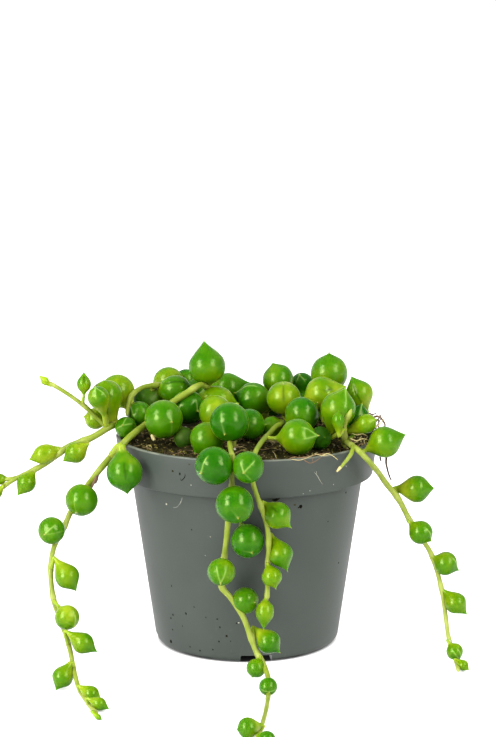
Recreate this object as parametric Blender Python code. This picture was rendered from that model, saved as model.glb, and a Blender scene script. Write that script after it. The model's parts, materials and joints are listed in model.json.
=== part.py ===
"""Potted string of watermelons: a thin plastic pot, its soil, and the leafy stems.

Real size in metres, +Z up. The origin is on the ground under the middle of the pot,
and -Y is the side that the longest stem lies on. Lengths below are in millimetres.
"""

import math

import bmesh
import bpy
from mathutils import Vector

MM = 0.001
WELD = 0.000002

# Pot
POT_HEIGHT = 48.0
RIM_RADIUS = 30.0
BAND_HEIGHT = 8.4
BAND_FOOT_RADIUS = 28.9
BODY_TOP_RADIUS = 26.4
BODY_FOOT_RADIUS = 21.4
WALL = 0.9
FOOT_RADIUS = 19.8
RECESS_HEIGHT = 1.1
RECESS_INNER_RADIUS = 7.0
RECESS_OUTER_RADIUS = 15.4
DRAIN_COUNT = 4
DRAIN_WIDTH = 7.0
DRAIN_HOLE_RADIUS = 2.3
DRAIN_TURN = math.radians(-84.3)
POT_SIDES = 40

# Soil
GAP = 0.3
SOIL_EDGE_Z = 46.0
SOIL_MOUND = 2.0
SOIL_ROUGHNESS = 0.22
SOIL_RINGS = (0.22, 0.42, 0.6, 0.76, 0.9, 1.0)
SOIL_SIDES = 32
ROOT_DEPTH = 4.5
HOLE_SIDES = 10

# Stems and leaves
STEM_SIDES = 6
ROUTE_STEP = 4.4
PETIOLE_RADIUS = 0.5
NECK_RADIUS = 0.62
TIP_REACH = 1.3
TRIES = 8
TWIST_STEP = math.radians(11.0)
BIG_LEAF = 3.3
BIG_LEAF_SIDES = 8
SMALL_LEAF_SIDES = 6
# Rings of a leaf: place along its axis and width, both as shares of its radius
BIG_LEAF_RINGS = ((-0.8, 0.63), (-0.25, 0.99), (0.36, 0.95), (0.86, 0.56))
SMALL_LEAF_RINGS = ((-0.66, 0.77), (0.06, 1.0), (0.76, 0.66))

# Every route starts at its root in the soil. A leaf is its middle, its radius, the way its
# tip points and, where it is longer than round, its length beside a round one.
STEMS = {
    "stem_upper_left": {
        "thick": (0.85, 0.45),
        "route": [
            (-22.0, 2.5, 48.6), (-22.6, 2.3, 50.0), (-26.5, 1.0, 50.5), (-29.6, -1.5, 50.5),
            (-31.4, -4.5, 50.2), (-35.3, -6.0, 48.1), (-40.3, -6.0, 46.2), (-44.5, -6.0, 43.9),
            (-49.1, -6.0, 41.1), (-53.6, -6.5, 38.0), (-58.6, -7.0, 34.9), (-62.4, -7.0, 31.9),
        ],
        "shoots": [
            [
                (-31.4, -4.5, 50.2), (-32.6, -5.5, 51.2), (-36.2, -6.0, 54.8), (-39.7, -6.0, 57.8),
                (-44.2, -6.0, 60.7), (-46.7, -6.0, 62.3),
            ],
        ],
        "leaves": [
            (-31.7, -4.0, 57.2, 3.6, 0.1, -0.2, 0.95),
            (-33.1, -9.0, 57.2, 2.1, 0.05, 0.0, 1.0, 1.5),
            (-34.2, -1.5, 51.6, 2.5, -0.9, -0.2, 0.3),
            (-36.5, -6.4, 60.8, 1.6, 0.0, 0.0, 1.0, 1.3),
            (-38.4, -7.5, 45.2, 2.4, -0.75, -0.1, -0.6),
            (-46.2, -6.2, 45.0, 2.0, -0.9, 0.0, -0.4),
            (-49.7, -7.2, 37.9, 2.2, -0.6, 0.0, -0.8),
            (-55.6, -6.0, 39.6, 1.4, -0.95, 0.0, -0.1, 1.3),
            (-56.6, -8.4, 34.4, 1.4, -0.6, -0.2, -0.6, 1.2),
            (-60.8, -6.4, 35.2, 1.2, -0.9, 0.2, 0.1, 1.2),
        ],
    },
    "stem_arched": {
        "thick": (0.85, 0.6),
        "route": [
            (-16.4, 9.8, 48.6), (-16.5, 10.2, 51.6), (-17.4, 10.9, 55.0), (-19.0, 9.6, 57.2),
            (-21.8, 6.2, 58.0), (-24.4, 3.4, 57.9), (-26.4, 0.5, 56.6), (-27.1, -2.0, 54.9),
            (-27.3, -3.8, 52.6),
        ],
        "shoots": [],
        "leaves": [
            (-29.6, 5.0, 58.1, 3.8, -0.6, 0.7, 0.4),
            (-27.2, -4.8, 50.8, 2.3, 0.0, -0.5, -0.7),
            (-23.1, 9.0, 54.4, 3.7, -0.5, 0.3, -0.5),
            (-17.2, 7.0, 57.3, 3.2, 0.2, -0.9, 0.1),
            (-18.5, 15.5, 57.4, 3.5, 0.0, 0.85, 0.4),
            (-14.3, 18.0, 56.8, 2.6, 0.5, 0.7, 0.4),
            (-23.6, 15.6, 52.0, 3.4, -0.8, 0.5, 0.1),
            (-19.6, 20.4, 51.4, 3.0, -0.4, 0.9, 0.1),
        ],
    },
    "stem_left": {
        "thick": (0.9, 0.42),
        "route": [
            (-8.5, -0.5, 48.8), (-8.5, -0.5, 51.5), (-8.6, -0.7, 55.5), (-9.2, -1.2, 58.6),
            (-10.8, -2.2, 59.7), (-12.7, -3.0, 58.7), (-16.8, -4.0, 56.0), (-20.4, -4.6, 53.3),
            (-23.0, -7.9, 51.4), (-25.9, -12.0, 49.8), (-28.0, -14.2, 47.9), (-31.1, -17.5, 45.0),
            (-33.7, -18.3, 41.9), (-36.5, -15.6, 37.3), (-38.9, -18.8, 34.1), (-40.3, -20.5, 31.0),
            (-42.3, -23.6, 27.2), (-42.8, -26.2, 23.0), (-42.4, -28.0, 18.8), (-41.6, -28.6, 15.1),
            (-39.8, -29.5, 10.3), (-38.2, -33.6, 7.2), (-37.0, -38.0, 4.2), (-35.4, -44.0, 2.0),
            (-33.0, -50.0, 1.2), (-30.6, -55.6, 0.9),
        ],
        "shoots": [
            [
                (-8.5, -0.5, 49.8), (-9.8, -4.0, 49.6), (-11.6, -8.0, 49.6), (-13.4, -11.8, 50.0),
                (-14.8, -13.8, 50.8),
            ],
        ],
        "leaves": [
            (-9.0, 3.0, 63.1, 4.3, -0.14, 0.0, 1.0, 1.08),
            (-13.3, 1.0, 54.4, 3.9, 0.4, -0.45, -0.8),
            (-7.5, 6.5, 54.8, 4.0, 0.9, -0.25, -0.35),
            (-7.0, -7.5, 55.3, 3.8, 0.15, -0.8, -0.5),
            (-18.4, -9.0, 53.0, 4.4, 0.37, -0.9, -0.1),
            (-23.9, -0.6, 52.9, 2.6, -0.35, -0.85, 0.35),
            (-14.2, -15.0, 50.0, 1.9, 0.5, -0.5, -0.5),
            (-26.8, -21.0, 43.1, 3.9, 0.13, -0.3, -0.92),
            (-36.2, -20.0, 37.0, 3.6, -0.22, -0.75, -0.63),
            (-42.5, -24.4, 31.1, 3.0, -0.33, -0.9, -0.18),
            (-38.9, -28.0, 21.8, 2.7, 0.5, -0.2, -0.8),
            (-38.7, -32.2, 13.8, 2.7, 0.4, -0.9, -0.05),
            (-35.0, -35.0, 8.8, 2.3, 0.83, -0.1, -0.5),
            (-39.4, -39.0, 2.7, 2.2, -0.5, -0.2, -0.6),
            (-32.3, -47.0, 2.1, 1.7, 0.88, -0.2, -0.25, 1.25),
            (-30.1, -52.6, 1.8, 1.4, 0.94, -0.2, -0.15, 1.3),
        ],
    },
    "stem_middle_left": {
        "thick": (0.85, 0.42),
        "route": [
            (-3.0, -13.5, 48.4), (-3.0, -13.9, 50.0), (-3.2, -17.5, 50.2), (-3.2, -25.0, 50.6),
            (-3.0, -29.5, 50.0), (-3.0, -32.2, 48.6), (-3.2, -33.0, 45.6), (-3.3, -32.4, 41.6),
            (-3.9, -31.2, 37.0), (-4.3, -30.5, 32.2), (-4.8, -29.3, 27.2), (-5.3, -28.3, 22.8),
            (-5.5, -28.6, 19.8), (-3.4, -29.0, 17.2), (-0.9, -30.2, 13.6), (0.9, -30.2, 9.7),
            (2.6, -30.2, 5.6), (4.3, -33.6, 2.8), (4.8, -37.4, 1.8), (4.6, -43.8, 1.4),
            (4.2, -52.0, 1.2), (3.4, -61.0, 1.2), (2.4, -69.0, 1.2), (0.9, -78.4, 1.2),
        ],
        "shoots": [],
        "leaves": [
            (-3.5, -21.0, 54.7, 4.2, -0.31, -0.94, -0.12),
            (-8.3, -16.6, 51.4, 3.5, -0.7, -0.1, -0.7),
            (0.9, -10.0, 52.2, 3.5, 0.8, -0.5, 0.1),
            (-7.2, -35.5, 48.1, 3.6, -0.53, -0.79, -0.31),
            (-2.4, -36.6, 40.0, 4.0, 0.15, -0.84, -0.53),
            (0.5, -29.8, 30.4, 3.4, 0.3, -0.65, -0.65),
            (-5.0, -32.0, 24.0, 3.0, -0.03, -0.82, -0.57),
            (0.0, -28.5, 16.6, 2.8, 0.35, -0.7, -0.6),
            (5.2, -30.0, 7.6, 2.5, 0.7, -0.28, -0.66),
            (2.3, -31.0, 2.3, 2.0, 0.49, -0.5, -0.6),
            (4.8, -42.0, 2.2, 2.0, 0.04, -0.95, -0.2),
            (0.5, -69.0, 2.3, 2.1, -0.84, -0.5, -0.04),
            (4.0, -73.4, 1.8, 1.5, 0.7, -0.6, 0.0, 1.2),
        ],
    },
    "stem_middle_right": {
        "thick": (0.85, 0.5),
        "route": [
            (5.5, 0.2, 48.8), (5.7, -0.2, 50.4), (7.9, -2.6, 51.0), (8.1, -7.0, 51.6),
            (6.7, -10.4, 51.8), (5.0, -15.0, 51.0), (3.3, -21.6, 50.5), (2.1, -28.0, 50.0),
            (1.3, -31.4, 48.6), (1.0, -32.0, 45.4), (1.9, -32.0, 41.6), (3.3, -31.7, 37.6),
            (4.4, -31.5, 33.8), (4.7, -31.2, 29.4), (4.5, -30.2, 24.9), (4.5, -29.8, 20.2),
            (4.3, -30.4, 16.9),
        ],
        "shoots": [],
        "leaves": [
            (5.2, -5.0, 51.2, 2.4, -0.7, -0.5, 0.4),
            (11.4, -20.0, 51.4, 4.0, 0.86, -0.49, 0.09),
            (0.5, -36.3, 48.0, 3.2, -0.2, -0.96, -0.2),
            (6.9, -31.0, 36.1, 3.0, 0.71, -0.24, -0.66),
            (7.7, -30.0, 27.0, 2.6, 0.43, -0.2, -0.88),
            (5.8, -31.8, 22.6, 2.1, 0.16, -0.36, -0.92),
            (4.2, -31.0, 14.4, 1.9, -0.09, -0.1, -1.0, 1.25),
        ],
    },
    "stem_front_right": {
        "thick": (0.85, 0.7),
        "route": [(13.5, -2.5, 48.8), (13.5, -2.4, 51.4), (13.4, -1.4, 53.8), (13.9, -0.8, 55.4)],
        "shoots": [[(13.5, -2.5, 49.8), (13.8, -6.5, 49.5), (14.4, -10.6, 49.4)]],
        "leaves": [
            (8.9, -0.5, 56.4, 3.9, -0.05, 0.6, 0.8),
            (12.6, -8.0, 54.1, 4.0, 0.7, 0.4, 0.5),
            (17.8, -1.0, 57.3, 4.1, 0.92, -0.1, 0.39),
            (16.2, -14.0, 49.9, 2.4, 0.3, -0.8, 0.2),
        ],
    },
    "stem_right": {
        "thick": (0.85, 0.42),
        "route": [
            (20.5, -14.2, 48.2), (21.2, -15.0, 49.4), (22.6, -17.4, 49.9), (23.9, -20.5, 48.9),
            (26.1, -20.4, 46.8), (28.6, -17.0, 44.6), (30.6, -13.4, 41.8), (32.7, -11.2, 38.2),
            (34.2, -11.0, 34.9), (36.5, -11.5, 30.6), (38.7, -12.0, 27.0), (41.2, -12.9, 23.4),
            (42.9, -14.0, 18.7), (44.0, -14.9, 13.9), (44.7, -16.0, 8.9), (45.2, -17.4, 5.0),
            (45.9, -20.4, 2.6), (46.3, -24.6, 1.3), (46.2, -29.6, 0.9),
        ],
        "shoots": [[(21.3, -15.2, 49.2), (21.6, -15.8, 51.6), (22.7, -16.2, 54.4), (23.4, -16.4, 56.6)]],
        "leaves": [
            (20.4, -12.5, 55.8, 4.2, 0.1, -0.15, 0.98, 1.05),
            (20.4, -18.2, 53.7, 1.4, -0.05, -0.15, 0.97, 1.6),
            (24.9, -10.2, 53.5, 2.7, 0.45, 0.0, 0.85, 1.1),
            (26.2, -14.8, 52.9, 2.3, 0.85, -0.2, 0.4, 1.15),
            (30.8, -16.2, 49.5, 3.6, 0.93, 0.0, 0.35),
            (38.3, -10.0, 37.2, 3.0, 1.0, 0.0, 0.03),
            (39.5, -15.2, 28.4, 2.7, 0.39, -0.91, -0.13),
            (44.9, -14.2, 20.8, 2.7, 0.87, -0.37, -0.33),
            (46.9, -16.0, 12.5, 2.3, 0.74, -0.3, -0.6),
            (46.8, -19.4, 2.2, 1.8, 0.67, -0.46, -0.3),
            (48.0, -25.2, 1.5, 1.2, 0.87, -0.3, -0.2),
        ],
    },
    "stem_back_right": {
        "thick": (0.85, 0.6),
        "route": [(23.8, 6.8, 48.2), (23.8, 6.9, 50.8), (23.4, 7.4, 53.4), (21.4, 8.2, 55.8)],
        "shoots": [],
        "leaves": [
            (19.3, 8.0, 61.1, 4.2, 0.0, -0.2, 0.95, 1.04),
            (25.9, 4.0, 57.0, 3.4, -0.37, -0.36, 0.85),
            (27.2, 11.2, 52.0, 3.2, 0.8, 0.5, 0.1),
            (23.2, 13.4, 52.2, 3.1, 0.1, 0.9, 0.5),
            (22.4, 0.2, 51.4, 2.9, -0.1, -0.9, 0.3),
        ],
    },
    "stem_trailing_back_left": {
        "thick": (0.85, 0.42),
        "route": [
            (-8.0, 14.8, 48.4), (-8.1, 15.2, 50.6), (-9.4, 20.0, 51.3), (-11.8, 26.0, 51.0),
            (-13.2, 30.0, 49.4), (-13.9, 31.4, 45.6), (-14.1, 30.8, 40.6), (-14.4, 29.6, 35.2),
            (-14.6, 28.6, 30.0), (-14.8, 27.8, 25.4),
        ],
        "shoots": [],
        "leaves": [
            (-3.3, 14.0, 56.5, 3.5, 0.85, -0.5, 0.14),
            (-4.6, 20.4, 51.8, 3.4, 0.3, 0.2, 0.9),
            (-13.0, 14.4, 51.6, 2.8, -0.7, -0.6, 0.2),
            (-6.6, 26.2, 51.7, 3.4, 0.6, 0.6, 0.2),
            (-17.2, 26.6, 51.5, 2.9, -0.8, 0.4, 0.1),
            (-10.2, 33.8, 45.0, 3.2, 0.5, 0.6, -0.5),
            (-17.8, 33.0, 41.0, 2.9, -0.6, 0.6, -0.5),
            (-11.2, 32.2, 36.4, 2.7, 0.6, 0.5, -0.6),
            (-17.4, 30.6, 31.6, 2.4, -0.6, 0.5, -0.6),
            (-12.4, 29.4, 27.0, 2.1, 0.5, 0.5, -0.7),
            (-15.2, 27.8, 22.6, 1.8, -0.2, 0.1, -0.95, 1.2),
        ],
    },
    "stem_trailing_back": {
        "thick": (0.85, 0.42),
        "route": [
            (4.2, 13.2, 48.4), (4.3, 13.8, 51.0), (4.0, 20.0, 51.2), (3.6, 27.0, 51.0),
            (3.3, 32.0, 49.8), (3.0, 33.8, 46.0), (2.6, 33.2, 40.6), (2.2, 31.8, 35.0),
            (2.4, 30.6, 29.6), (2.8, 29.4, 24.6), (2.6, 28.6, 20.6),
        ],
        "shoots": [],
        "leaves": [
            (1.8, 6.0, 55.1, 4.2, -0.75, -0.5, 0.3),
            (7.7, 12.0, 58.8, 3.7, -0.38, -0.54, 0.75),
            (9.0, 19.6, 52.4, 3.4, 0.8, 0.3, 0.2),
            (0.8, 25.2, 53.6, 3.0, -0.4, 0.5, 0.7),
            (8.0, 27.4, 52.0, 3.3, 0.7, 0.5, 0.1),
            (-1.2, 34.8, 46.4, 3.2, -0.7, 0.5, -0.4),
            (6.6, 35.6, 42.2, 3.1, 0.6, 0.6, -0.5),
            (-1.0, 34.0, 37.0, 2.8, -0.5, 0.6, -0.6),
            (5.6, 32.6, 32.0, 2.5, 0.6, 0.5, -0.6),
            (-0.2, 31.0, 26.8, 2.2, -0.5, 0.5, -0.7),
            (2.8, 28.4, 18.0, 1.8, 0.1, -0.1, -1.0, 1.2),
        ],
    },
    "stem_trailing_back_right": {
        "thick": (0.85, 0.42),
        "route": [
            (15.2, 10.6, 48.4), (15.2, 11.0, 50.8), (15.8, 16.4, 51.2), (16.2, 22.6, 51.0),
            (16.4, 27.6, 49.9), (16.6, 29.6, 46.2), (16.4, 29.4, 40.8), (15.6, 28.8, 35.4),
            (14.8, 28.0, 30.2),
        ],
        "shoots": [],
        "leaves": [
            (13.0, 16.0, 56.6, 2.8, -0.1, 0.6, 0.7),
            (20.2, 21.2, 51.8, 2.8, 0.8, 0.4, 0.1),
            (12.6, 32.2, 46.0, 3.0, -0.5, 0.7, -0.5),
            (19.8, 30.8, 42.2, 3.0, 0.6, 0.6, -0.4),
            (12.8, 31.0, 36.0, 2.6, -0.5, 0.6, -0.6),
            (17.8, 29.8, 31.4, 2.3, 0.6, 0.5, -0.6),
            (14.4, 27.6, 27.4, 1.8, -0.1, -0.1, -1.0, 1.2),
        ],
    },
}


def clear_scene():
    for old in list(bpy.data.objects):
        bpy.data.objects.remove(old, do_unlink=True)


def new_object(name, mesh):
    piece = bpy.data.objects.new(name, mesh)
    bpy.context.scene.collection.objects.link(piece)
    return piece


def plain_material(name, colour, roughness):
    material = bpy.data.materials.new(name)
    material.use_nodes = True
    shader = material.node_tree.nodes["Principled BSDF"]
    shader.inputs["Base Color"].default_value = (*colour, 1.0)
    shader.inputs["Roughness"].default_value = roughness
    shader.inputs["Metallic"].default_value = 0.0
    return material


def mesh_from(name, points, faces):
    """A mesh from points in millimetres, with its faces pointing out."""
    mesh = bpy.data.meshes.new(name)
    mesh.from_pydata([Vector(point) * MM for point in points], [], faces)
    shape = bmesh.new()
    shape.from_mesh(mesh)
    bmesh.ops.recalc_face_normals(shape, faces=shape.faces)
    shape.to_mesh(mesh)
    shape.free()
    return mesh


def shade_round(mesh, angle=35.0):
    mesh.shade_smooth()
    mesh.set_sharp_from_angle(angle=math.radians(angle))


def turned(name, profile, sides):
    """A closed solid of revolution; the profile starts and ends on the axis."""
    points = [(0.0, 0.0, profile[0][1])]
    faces = []
    for radius, height in profile[1:-1]:
        for side in range(sides):
            turn = 2.0 * math.pi * side / sides
            points.append((radius * math.cos(turn), radius * math.sin(turn), height))
    points.append((0.0, 0.0, profile[-1][1]))
    rings = len(profile) - 2
    for side in range(sides):
        after = (side + 1) % sides
        faces.append((0, 1 + side, 1 + after))
        for ring in range(rings - 1):
            low = 1 + ring * sides
            high = low + sides
            faces.append((low + side, high + side, high + after, low + after))
        last = 1 + (rings - 1) * sides
        faces.append((last + side, len(points) - 1, last + after))
    return mesh_from(name, points, faces)


def arc(centre, radius, start, end, steps):
    """Points of a round corner, angles in degrees."""
    points = []
    for step in range(steps + 1):
        turn = math.radians(start + (end - start) * step / steps)
        points.append((centre[0] + radius * math.cos(turn), centre[1] + radius * math.sin(turn)))
    return points


def clean(mesh):
    """Weld slivers left by a Boolean and split every face into triangles."""
    shape = bmesh.new()
    shape.from_mesh(mesh)
    bmesh.ops.remove_doubles(shape, verts=shape.verts, dist=WELD)
    bmesh.ops.dissolve_degenerate(shape, edges=shape.edges, dist=WELD)
    bmesh.ops.triangulate(shape, faces=shape.faces)
    shape.to_mesh(mesh)
    shape.free()


def closed(mesh):
    shape = bmesh.new()
    shape.from_mesh(mesh)
    good = all(edge.is_manifold for edge in shape.edges)
    shape.free()
    return good


def apply_boolean(target, operation, others):
    """Cut or join with every object in one collection, then remove that collection's objects."""
    helpers = bpy.data.collections.new(target.name + "_helpers")
    bpy.context.scene.collection.children.link(helpers)
    for other in others:
        bpy.context.scene.collection.objects.unlink(other)
        helpers.objects.link(other)
        other.hide_render = True
        other.display_type = "WIRE"
    modifier = target.modifiers.new(operation.lower(), "BOOLEAN")
    modifier.operation = operation
    modifier.operand_type = "COLLECTION"
    modifier.collection = helpers
    for solver in ("EXACT", "MANIFOLD"):
        modifier.solver = solver
        graph = bpy.context.evaluated_depsgraph_get()
        result = bpy.data.meshes.new_from_object(target.evaluated_get(graph))
        clean(result)
        if closed(result):
            break
    target.modifiers.remove(modifier)
    target.data = result
    for other in others:
        bpy.data.objects.remove(other, do_unlink=True)
    bpy.data.collections.remove(helpers)


def smooth_route(points, step):
    """Points about one step apart on a smooth curve through the given ones."""
    knots = [Vector(point) for point in points]
    knots = [knots[0] * 2.0 - knots[1]] + knots + [knots[-1] * 2.0 - knots[-2]]
    route = []
    for index in range(1, len(knots) - 2):
        before, start, end, after = knots[index - 1:index + 3]
        pieces = max(1, round((end - start).length / step))
        for piece in range(pieces):
            t = piece / pieces
            route.append(0.5 * (
                2.0 * start
                + (end - before) * t
                + (2.0 * before - 5.0 * start + 4.0 * end - after) * t * t
                + (3.0 * start - before - 3.0 * end + after) * t * t * t
            ))
    route.append(knots[-2])
    return route


def swept(name, route, radii, sides, pointed, twist=0.0):
    """A closed tube along a route, with a flat start and a flat or pointed end."""
    points = []
    faces = []
    across = None
    for index, place in enumerate(route):
        ahead = route[min(index + 1, len(route) - 1)] - route[max(index - 1, 0)]
        ahead.normalize()
        if across is None:
            across = ahead.orthogonal().normalized()
        across = (across - ahead * across.dot(ahead)).normalized()
        side_way = ahead.cross(across)
        if pointed and index == len(route) - 1:
            points.append(place)
            break
        for side in range(sides):
            turn = twist + 2.0 * math.pi * side / sides
            way = across * math.cos(turn) + side_way * math.sin(turn)
            points.append(place + way * radii[index])
    rings = len(route) - (1 if pointed else 0)
    faces.append(tuple(range(sides))[::-1])
    for ring in range(rings - 1):
        for side in range(sides):
            low = ring * sides + side
            low_after = ring * sides + (side + 1) % sides
            faces.append((low, low_after, low_after + sides, low + sides))
    last = (rings - 1) * sides
    if pointed:
        for side in range(sides):
            faces.append((last + side, last + (side + 1) % sides, len(points) - 1))
    else:
        faces.append(tuple(range(last, last + sides)))
    return mesh_from(name, points, faces)


def tube_along(name, points, thick):
    route = smooth_route(points, ROUTE_STEP)
    count = len(route) - 1
    radii = [thick[0] + (thick[1] - thick[0]) * index / count for index in range(count + 1)]
    route.append(route[-1] + (route[-1] - route[-2]).normalized() * thick[1] * 2.0)
    radii.append(0.0)
    return swept(name, route, radii, STEM_SIDES, pointed=True)


def nearest_on(routes, place):
    """The point of the stem's routes that is nearest to a place."""
    best = None
    for route in routes:
        for start, end in zip(route, route[1:]):
            along = end - start
            share = (place - start).dot(along) / along.length_squared
            spot = start + along * min(1.0, max(0.0, share))
            if best is None or (spot - place).length < (best - place).length:
                best = spot
    return best


def leaf_solid(name, leaf, routes, twist):
    """A round leaf with a pointed tip, on a short stalk that starts inside the stem."""
    middle = Vector(leaf[0:3])
    radius = leaf[3]
    tip_way = Vector(leaf[4:7]).normalized()
    stretch = leaf[7] if len(leaf) > 7 else 1.0
    base = middle - tip_way * radius * stretch
    start = nearest_on(routes, base)
    route = [start]
    radii = [PETIOLE_RADIUS]
    neck = base - tip_way * 0.15 * radius
    if (neck - start).length > 1.2:
        route.append(neck)
        radii.append(NECK_RADIUS)
    big = radius >= BIG_LEAF
    for along, width in BIG_LEAF_RINGS if big else SMALL_LEAF_RINGS:
        route.append(middle + tip_way * radius * along * stretch)
        radii.append(radius * width)
    route.append(middle + tip_way * radius * TIP_REACH * stretch)
    radii.append(0.0)
    sides = BIG_LEAF_SIDES if big else SMALL_LEAF_SIDES
    fullness = 1.0 / math.sqrt(math.cos(math.pi / sides))
    radii = [radii[0]] + [width * fullness for width in radii[1:]]
    return swept(name, route, radii, sides, pointed=True, twist=twist)


def make_pot():
    band_foot = POT_HEIGHT - BAND_HEIGHT
    lip = 0.35
    profile = [
        (0.0, 0.0),
        (RECESS_INNER_RADIUS, 0.0),
        (RECESS_INNER_RADIUS + 0.4, RECESS_HEIGHT),
        (RECESS_OUTER_RADIUS - 0.4, RECESS_HEIGHT),
        (RECESS_OUTER_RADIUS, 0.0),
        (FOOT_RADIUS, 0.0),
    ]
    profile += arc((FOOT_RADIUS, 1.5), 1.5, -50, -8, 2)
    profile += [
        (BODY_FOOT_RADIUS, 4.0),
        (BODY_TOP_RADIUS, band_foot - 0.3),
        (BODY_TOP_RADIUS + 0.4, band_foot),
        (BAND_FOOT_RADIUS - 0.3, band_foot),
        (BAND_FOOT_RADIUS, band_foot + 0.35),
        (RIM_RADIUS, POT_HEIGHT - lip),
        (RIM_RADIUS - lip, POT_HEIGHT),
        (RIM_RADIUS - WALL + 0.15, POT_HEIGHT),
        (RIM_RADIUS - WALL, POT_HEIGHT - lip),
        (BAND_FOOT_RADIUS - WALL, band_foot + WALL),
        (BODY_TOP_RADIUS - WALL, band_foot - 0.3),
        (BODY_FOOT_RADIUS - WALL, 4.0),
        (FOOT_RADIUS - WALL, RECESS_HEIGHT + WALL),
        (0.0, RECESS_HEIGHT + WALL),
    ]
    pot = new_object("pot", turned("pot", profile, POT_SIDES))
    cutters = []
    for index in range(DRAIN_COUNT):
        turn = DRAIN_TURN + 2.0 * math.pi * index / DRAIN_COUNT
        reach = Vector((math.cos(turn), math.sin(turn), 0.0))
        across = Vector((-reach.y, reach.x, 0.0))
        inner = RECESS_OUTER_RADIUS - 1.2
        outer = BODY_FOOT_RADIUS + 2.0
        corners = []
        for height in (-1.0, RECESS_HEIGHT):
            for along, half in ((inner, -0.5), (outer, -0.5), (outer, 0.5), (inner, 0.5)):
                place = reach * along + across * half * DRAIN_WIDTH
                corners.append((place.x, place.y, height))
        faces = [(3, 2, 1, 0), (4, 5, 6, 7)]
        faces += [(i, (i + 1) % 4, 4 + (i + 1) % 4, 4 + i) for i in range(4)]
        cutters.append(new_object("notch", mesh_from("notch", corners, faces)))
        hole_at = reach * (RECESS_INNER_RADIUS + RECESS_OUTER_RADIUS) / 2.0
        ends = [hole_at + Vector((0.0, 0.0, height)) for height in (0.5, 3.5)]
        radii = [DRAIN_HOLE_RADIUS] * 2
        cutters.append(new_object("hole", swept("hole", ends, radii, 12, pointed=False)))
    apply_boolean(pot, "DIFFERENCE", cutters)
    shade_round(pot.data)
    pot.data.materials.clear()
    pot.data.materials.append(plain_material("pot_plastic", (0.13, 0.145, 0.14), 0.45))


def soil_height(x, y):
    """Mounded, slightly uneven top of the soil."""
    edge = RIM_RADIUS - WALL
    mound = SOIL_MOUND * max(0.0, 1.0 - (x * x + y * y) / (edge * edge))
    uneven = math.sin(0.55 * x + 1.3) * math.cos(0.47 * y - 0.4) + 0.5 * math.sin(0.9 * (x + y))
    return SOIL_EDGE_Z + mound + SOIL_ROUGHNESS * uneven


def make_soil():
    band_foot = POT_HEIGHT - BAND_HEIGHT
    floor = RECESS_HEIGHT + WALL + GAP
    side = [
        (FOOT_RADIUS - WALL - 0.6, floor),
        (BODY_FOOT_RADIUS - WALL - 0.5, 4.4),
        (BODY_TOP_RADIUS - WALL - 0.55, band_foot + 0.1),
        (BAND_FOOT_RADIUS - WALL - 0.6, band_foot + WALL + 0.7),
    ]
    share = (SOIL_EDGE_Z - band_foot) / BAND_HEIGHT
    top_radius = BAND_FOOT_RADIUS + (RIM_RADIUS - BAND_FOOT_RADIUS) * share - WALL - 0.5
    points = [(0.0, 0.0, floor)]
    rings = []
    for radius, height in side:
        rings.append([(radius, height)] * SOIL_SIDES)
    for share in reversed(SOIL_RINGS):
        rings.append([(top_radius * share, None)] * SOIL_SIDES)
    for ring in rings:
        for index, (radius, height) in enumerate(ring):
            turn = 2.0 * math.pi * index / SOIL_SIDES
            x = radius * math.cos(turn)
            y = radius * math.sin(turn)
            points.append((x, y, soil_height(x, y) if height is None else height))
    points.append((0.0, 0.0, soil_height(0.0, 0.0)))
    faces = []
    for side_index in range(SOIL_SIDES):
        after = (side_index + 1) % SOIL_SIDES
        faces.append((0, 1 + side_index, 1 + after))
        for ring in range(len(rings) - 1):
            low = 1 + ring * SOIL_SIDES
            high = low + SOIL_SIDES
            faces.append((low + side_index, low + after, high + after))
            faces.append((low + side_index, high + after, high + side_index))
        last = 1 + (len(rings) - 1) * SOIL_SIDES
        faces.append((last + side_index, len(points) - 1, last + after))
    soil = new_object("soil", mesh_from("soil", points, faces))
    cutters = []
    for stem in STEMS.values():
        x, y, _ = stem["route"][0]
        low = Vector((x, y, soil_height(x, y) - ROOT_DEPTH - GAP))
        high = Vector((x, y, soil_height(x, y) + 3.0))
        radius = (stem["thick"][0] + GAP) / math.cos(math.pi / HOLE_SIDES)
        hole = swept("hole", [low, high], [radius] * 2, HOLE_SIDES, pointed=False)
        cutters.append(new_object("hole", hole))
    apply_boolean(soil, "DIFFERENCE", cutters)
    shade_round(soil.data, 50.0)
    soil.data.materials.clear()
    soil.data.materials.append(plain_material("soil_peat", (0.05, 0.032, 0.02), 0.95))


def make_stem(name, stem, material):
    x, y, _ = stem["route"][0]
    root = (x, y, soil_height(x, y) - ROOT_DEPTH)
    collar = (x, y, soil_height(x, y) + 0.3)
    main_route = [root, collar] + stem["route"][1:]
    shoot_thick = (stem["thick"][0] * 0.75, stem["thick"][0] * 0.55)
    smooth = [smooth_route(route, ROUTE_STEP) for route in [main_route] + stem["shoots"]]
    tube = tube_along(name, main_route, stem["thick"])
    body = new_object(name, tube)
    # The leaves' facets turn a little at each try, until no two of them meet along one edge
    for attempt in range(TRIES):
        body.data = tube.copy()
        twist = attempt * TWIST_STEP
        pieces = [new_object("shoot", tube_along("shoot", s, shoot_thick)) for s in stem["shoots"]]
        for leaf in stem["leaves"]:
            pieces.append(new_object("leaf", leaf_solid("leaf", leaf, smooth, twist)))
        apply_boolean(body, "UNION", pieces)
        if closed(body.data):
            break
    shade_round(body.data, 80.0)
    body.data.materials.clear()
    body.data.materials.append(material)


def main():
    clear_scene()
    make_pot()
    make_soil()
    leaf_green = plain_material("leaf_green", (0.12, 0.32, 0.03), 0.35)
    for name, stem in STEMS.items():
        make_stem(name, stem, leaf_green)


main()
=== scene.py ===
"""Looks of the potted string of watermelons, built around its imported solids.

Real size in metres, +Z up; the origin is on the ground under the middle of the pot. The
tables below are in millimetres.
"""

import json
import math
import random
from typing import NamedTuple

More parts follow.
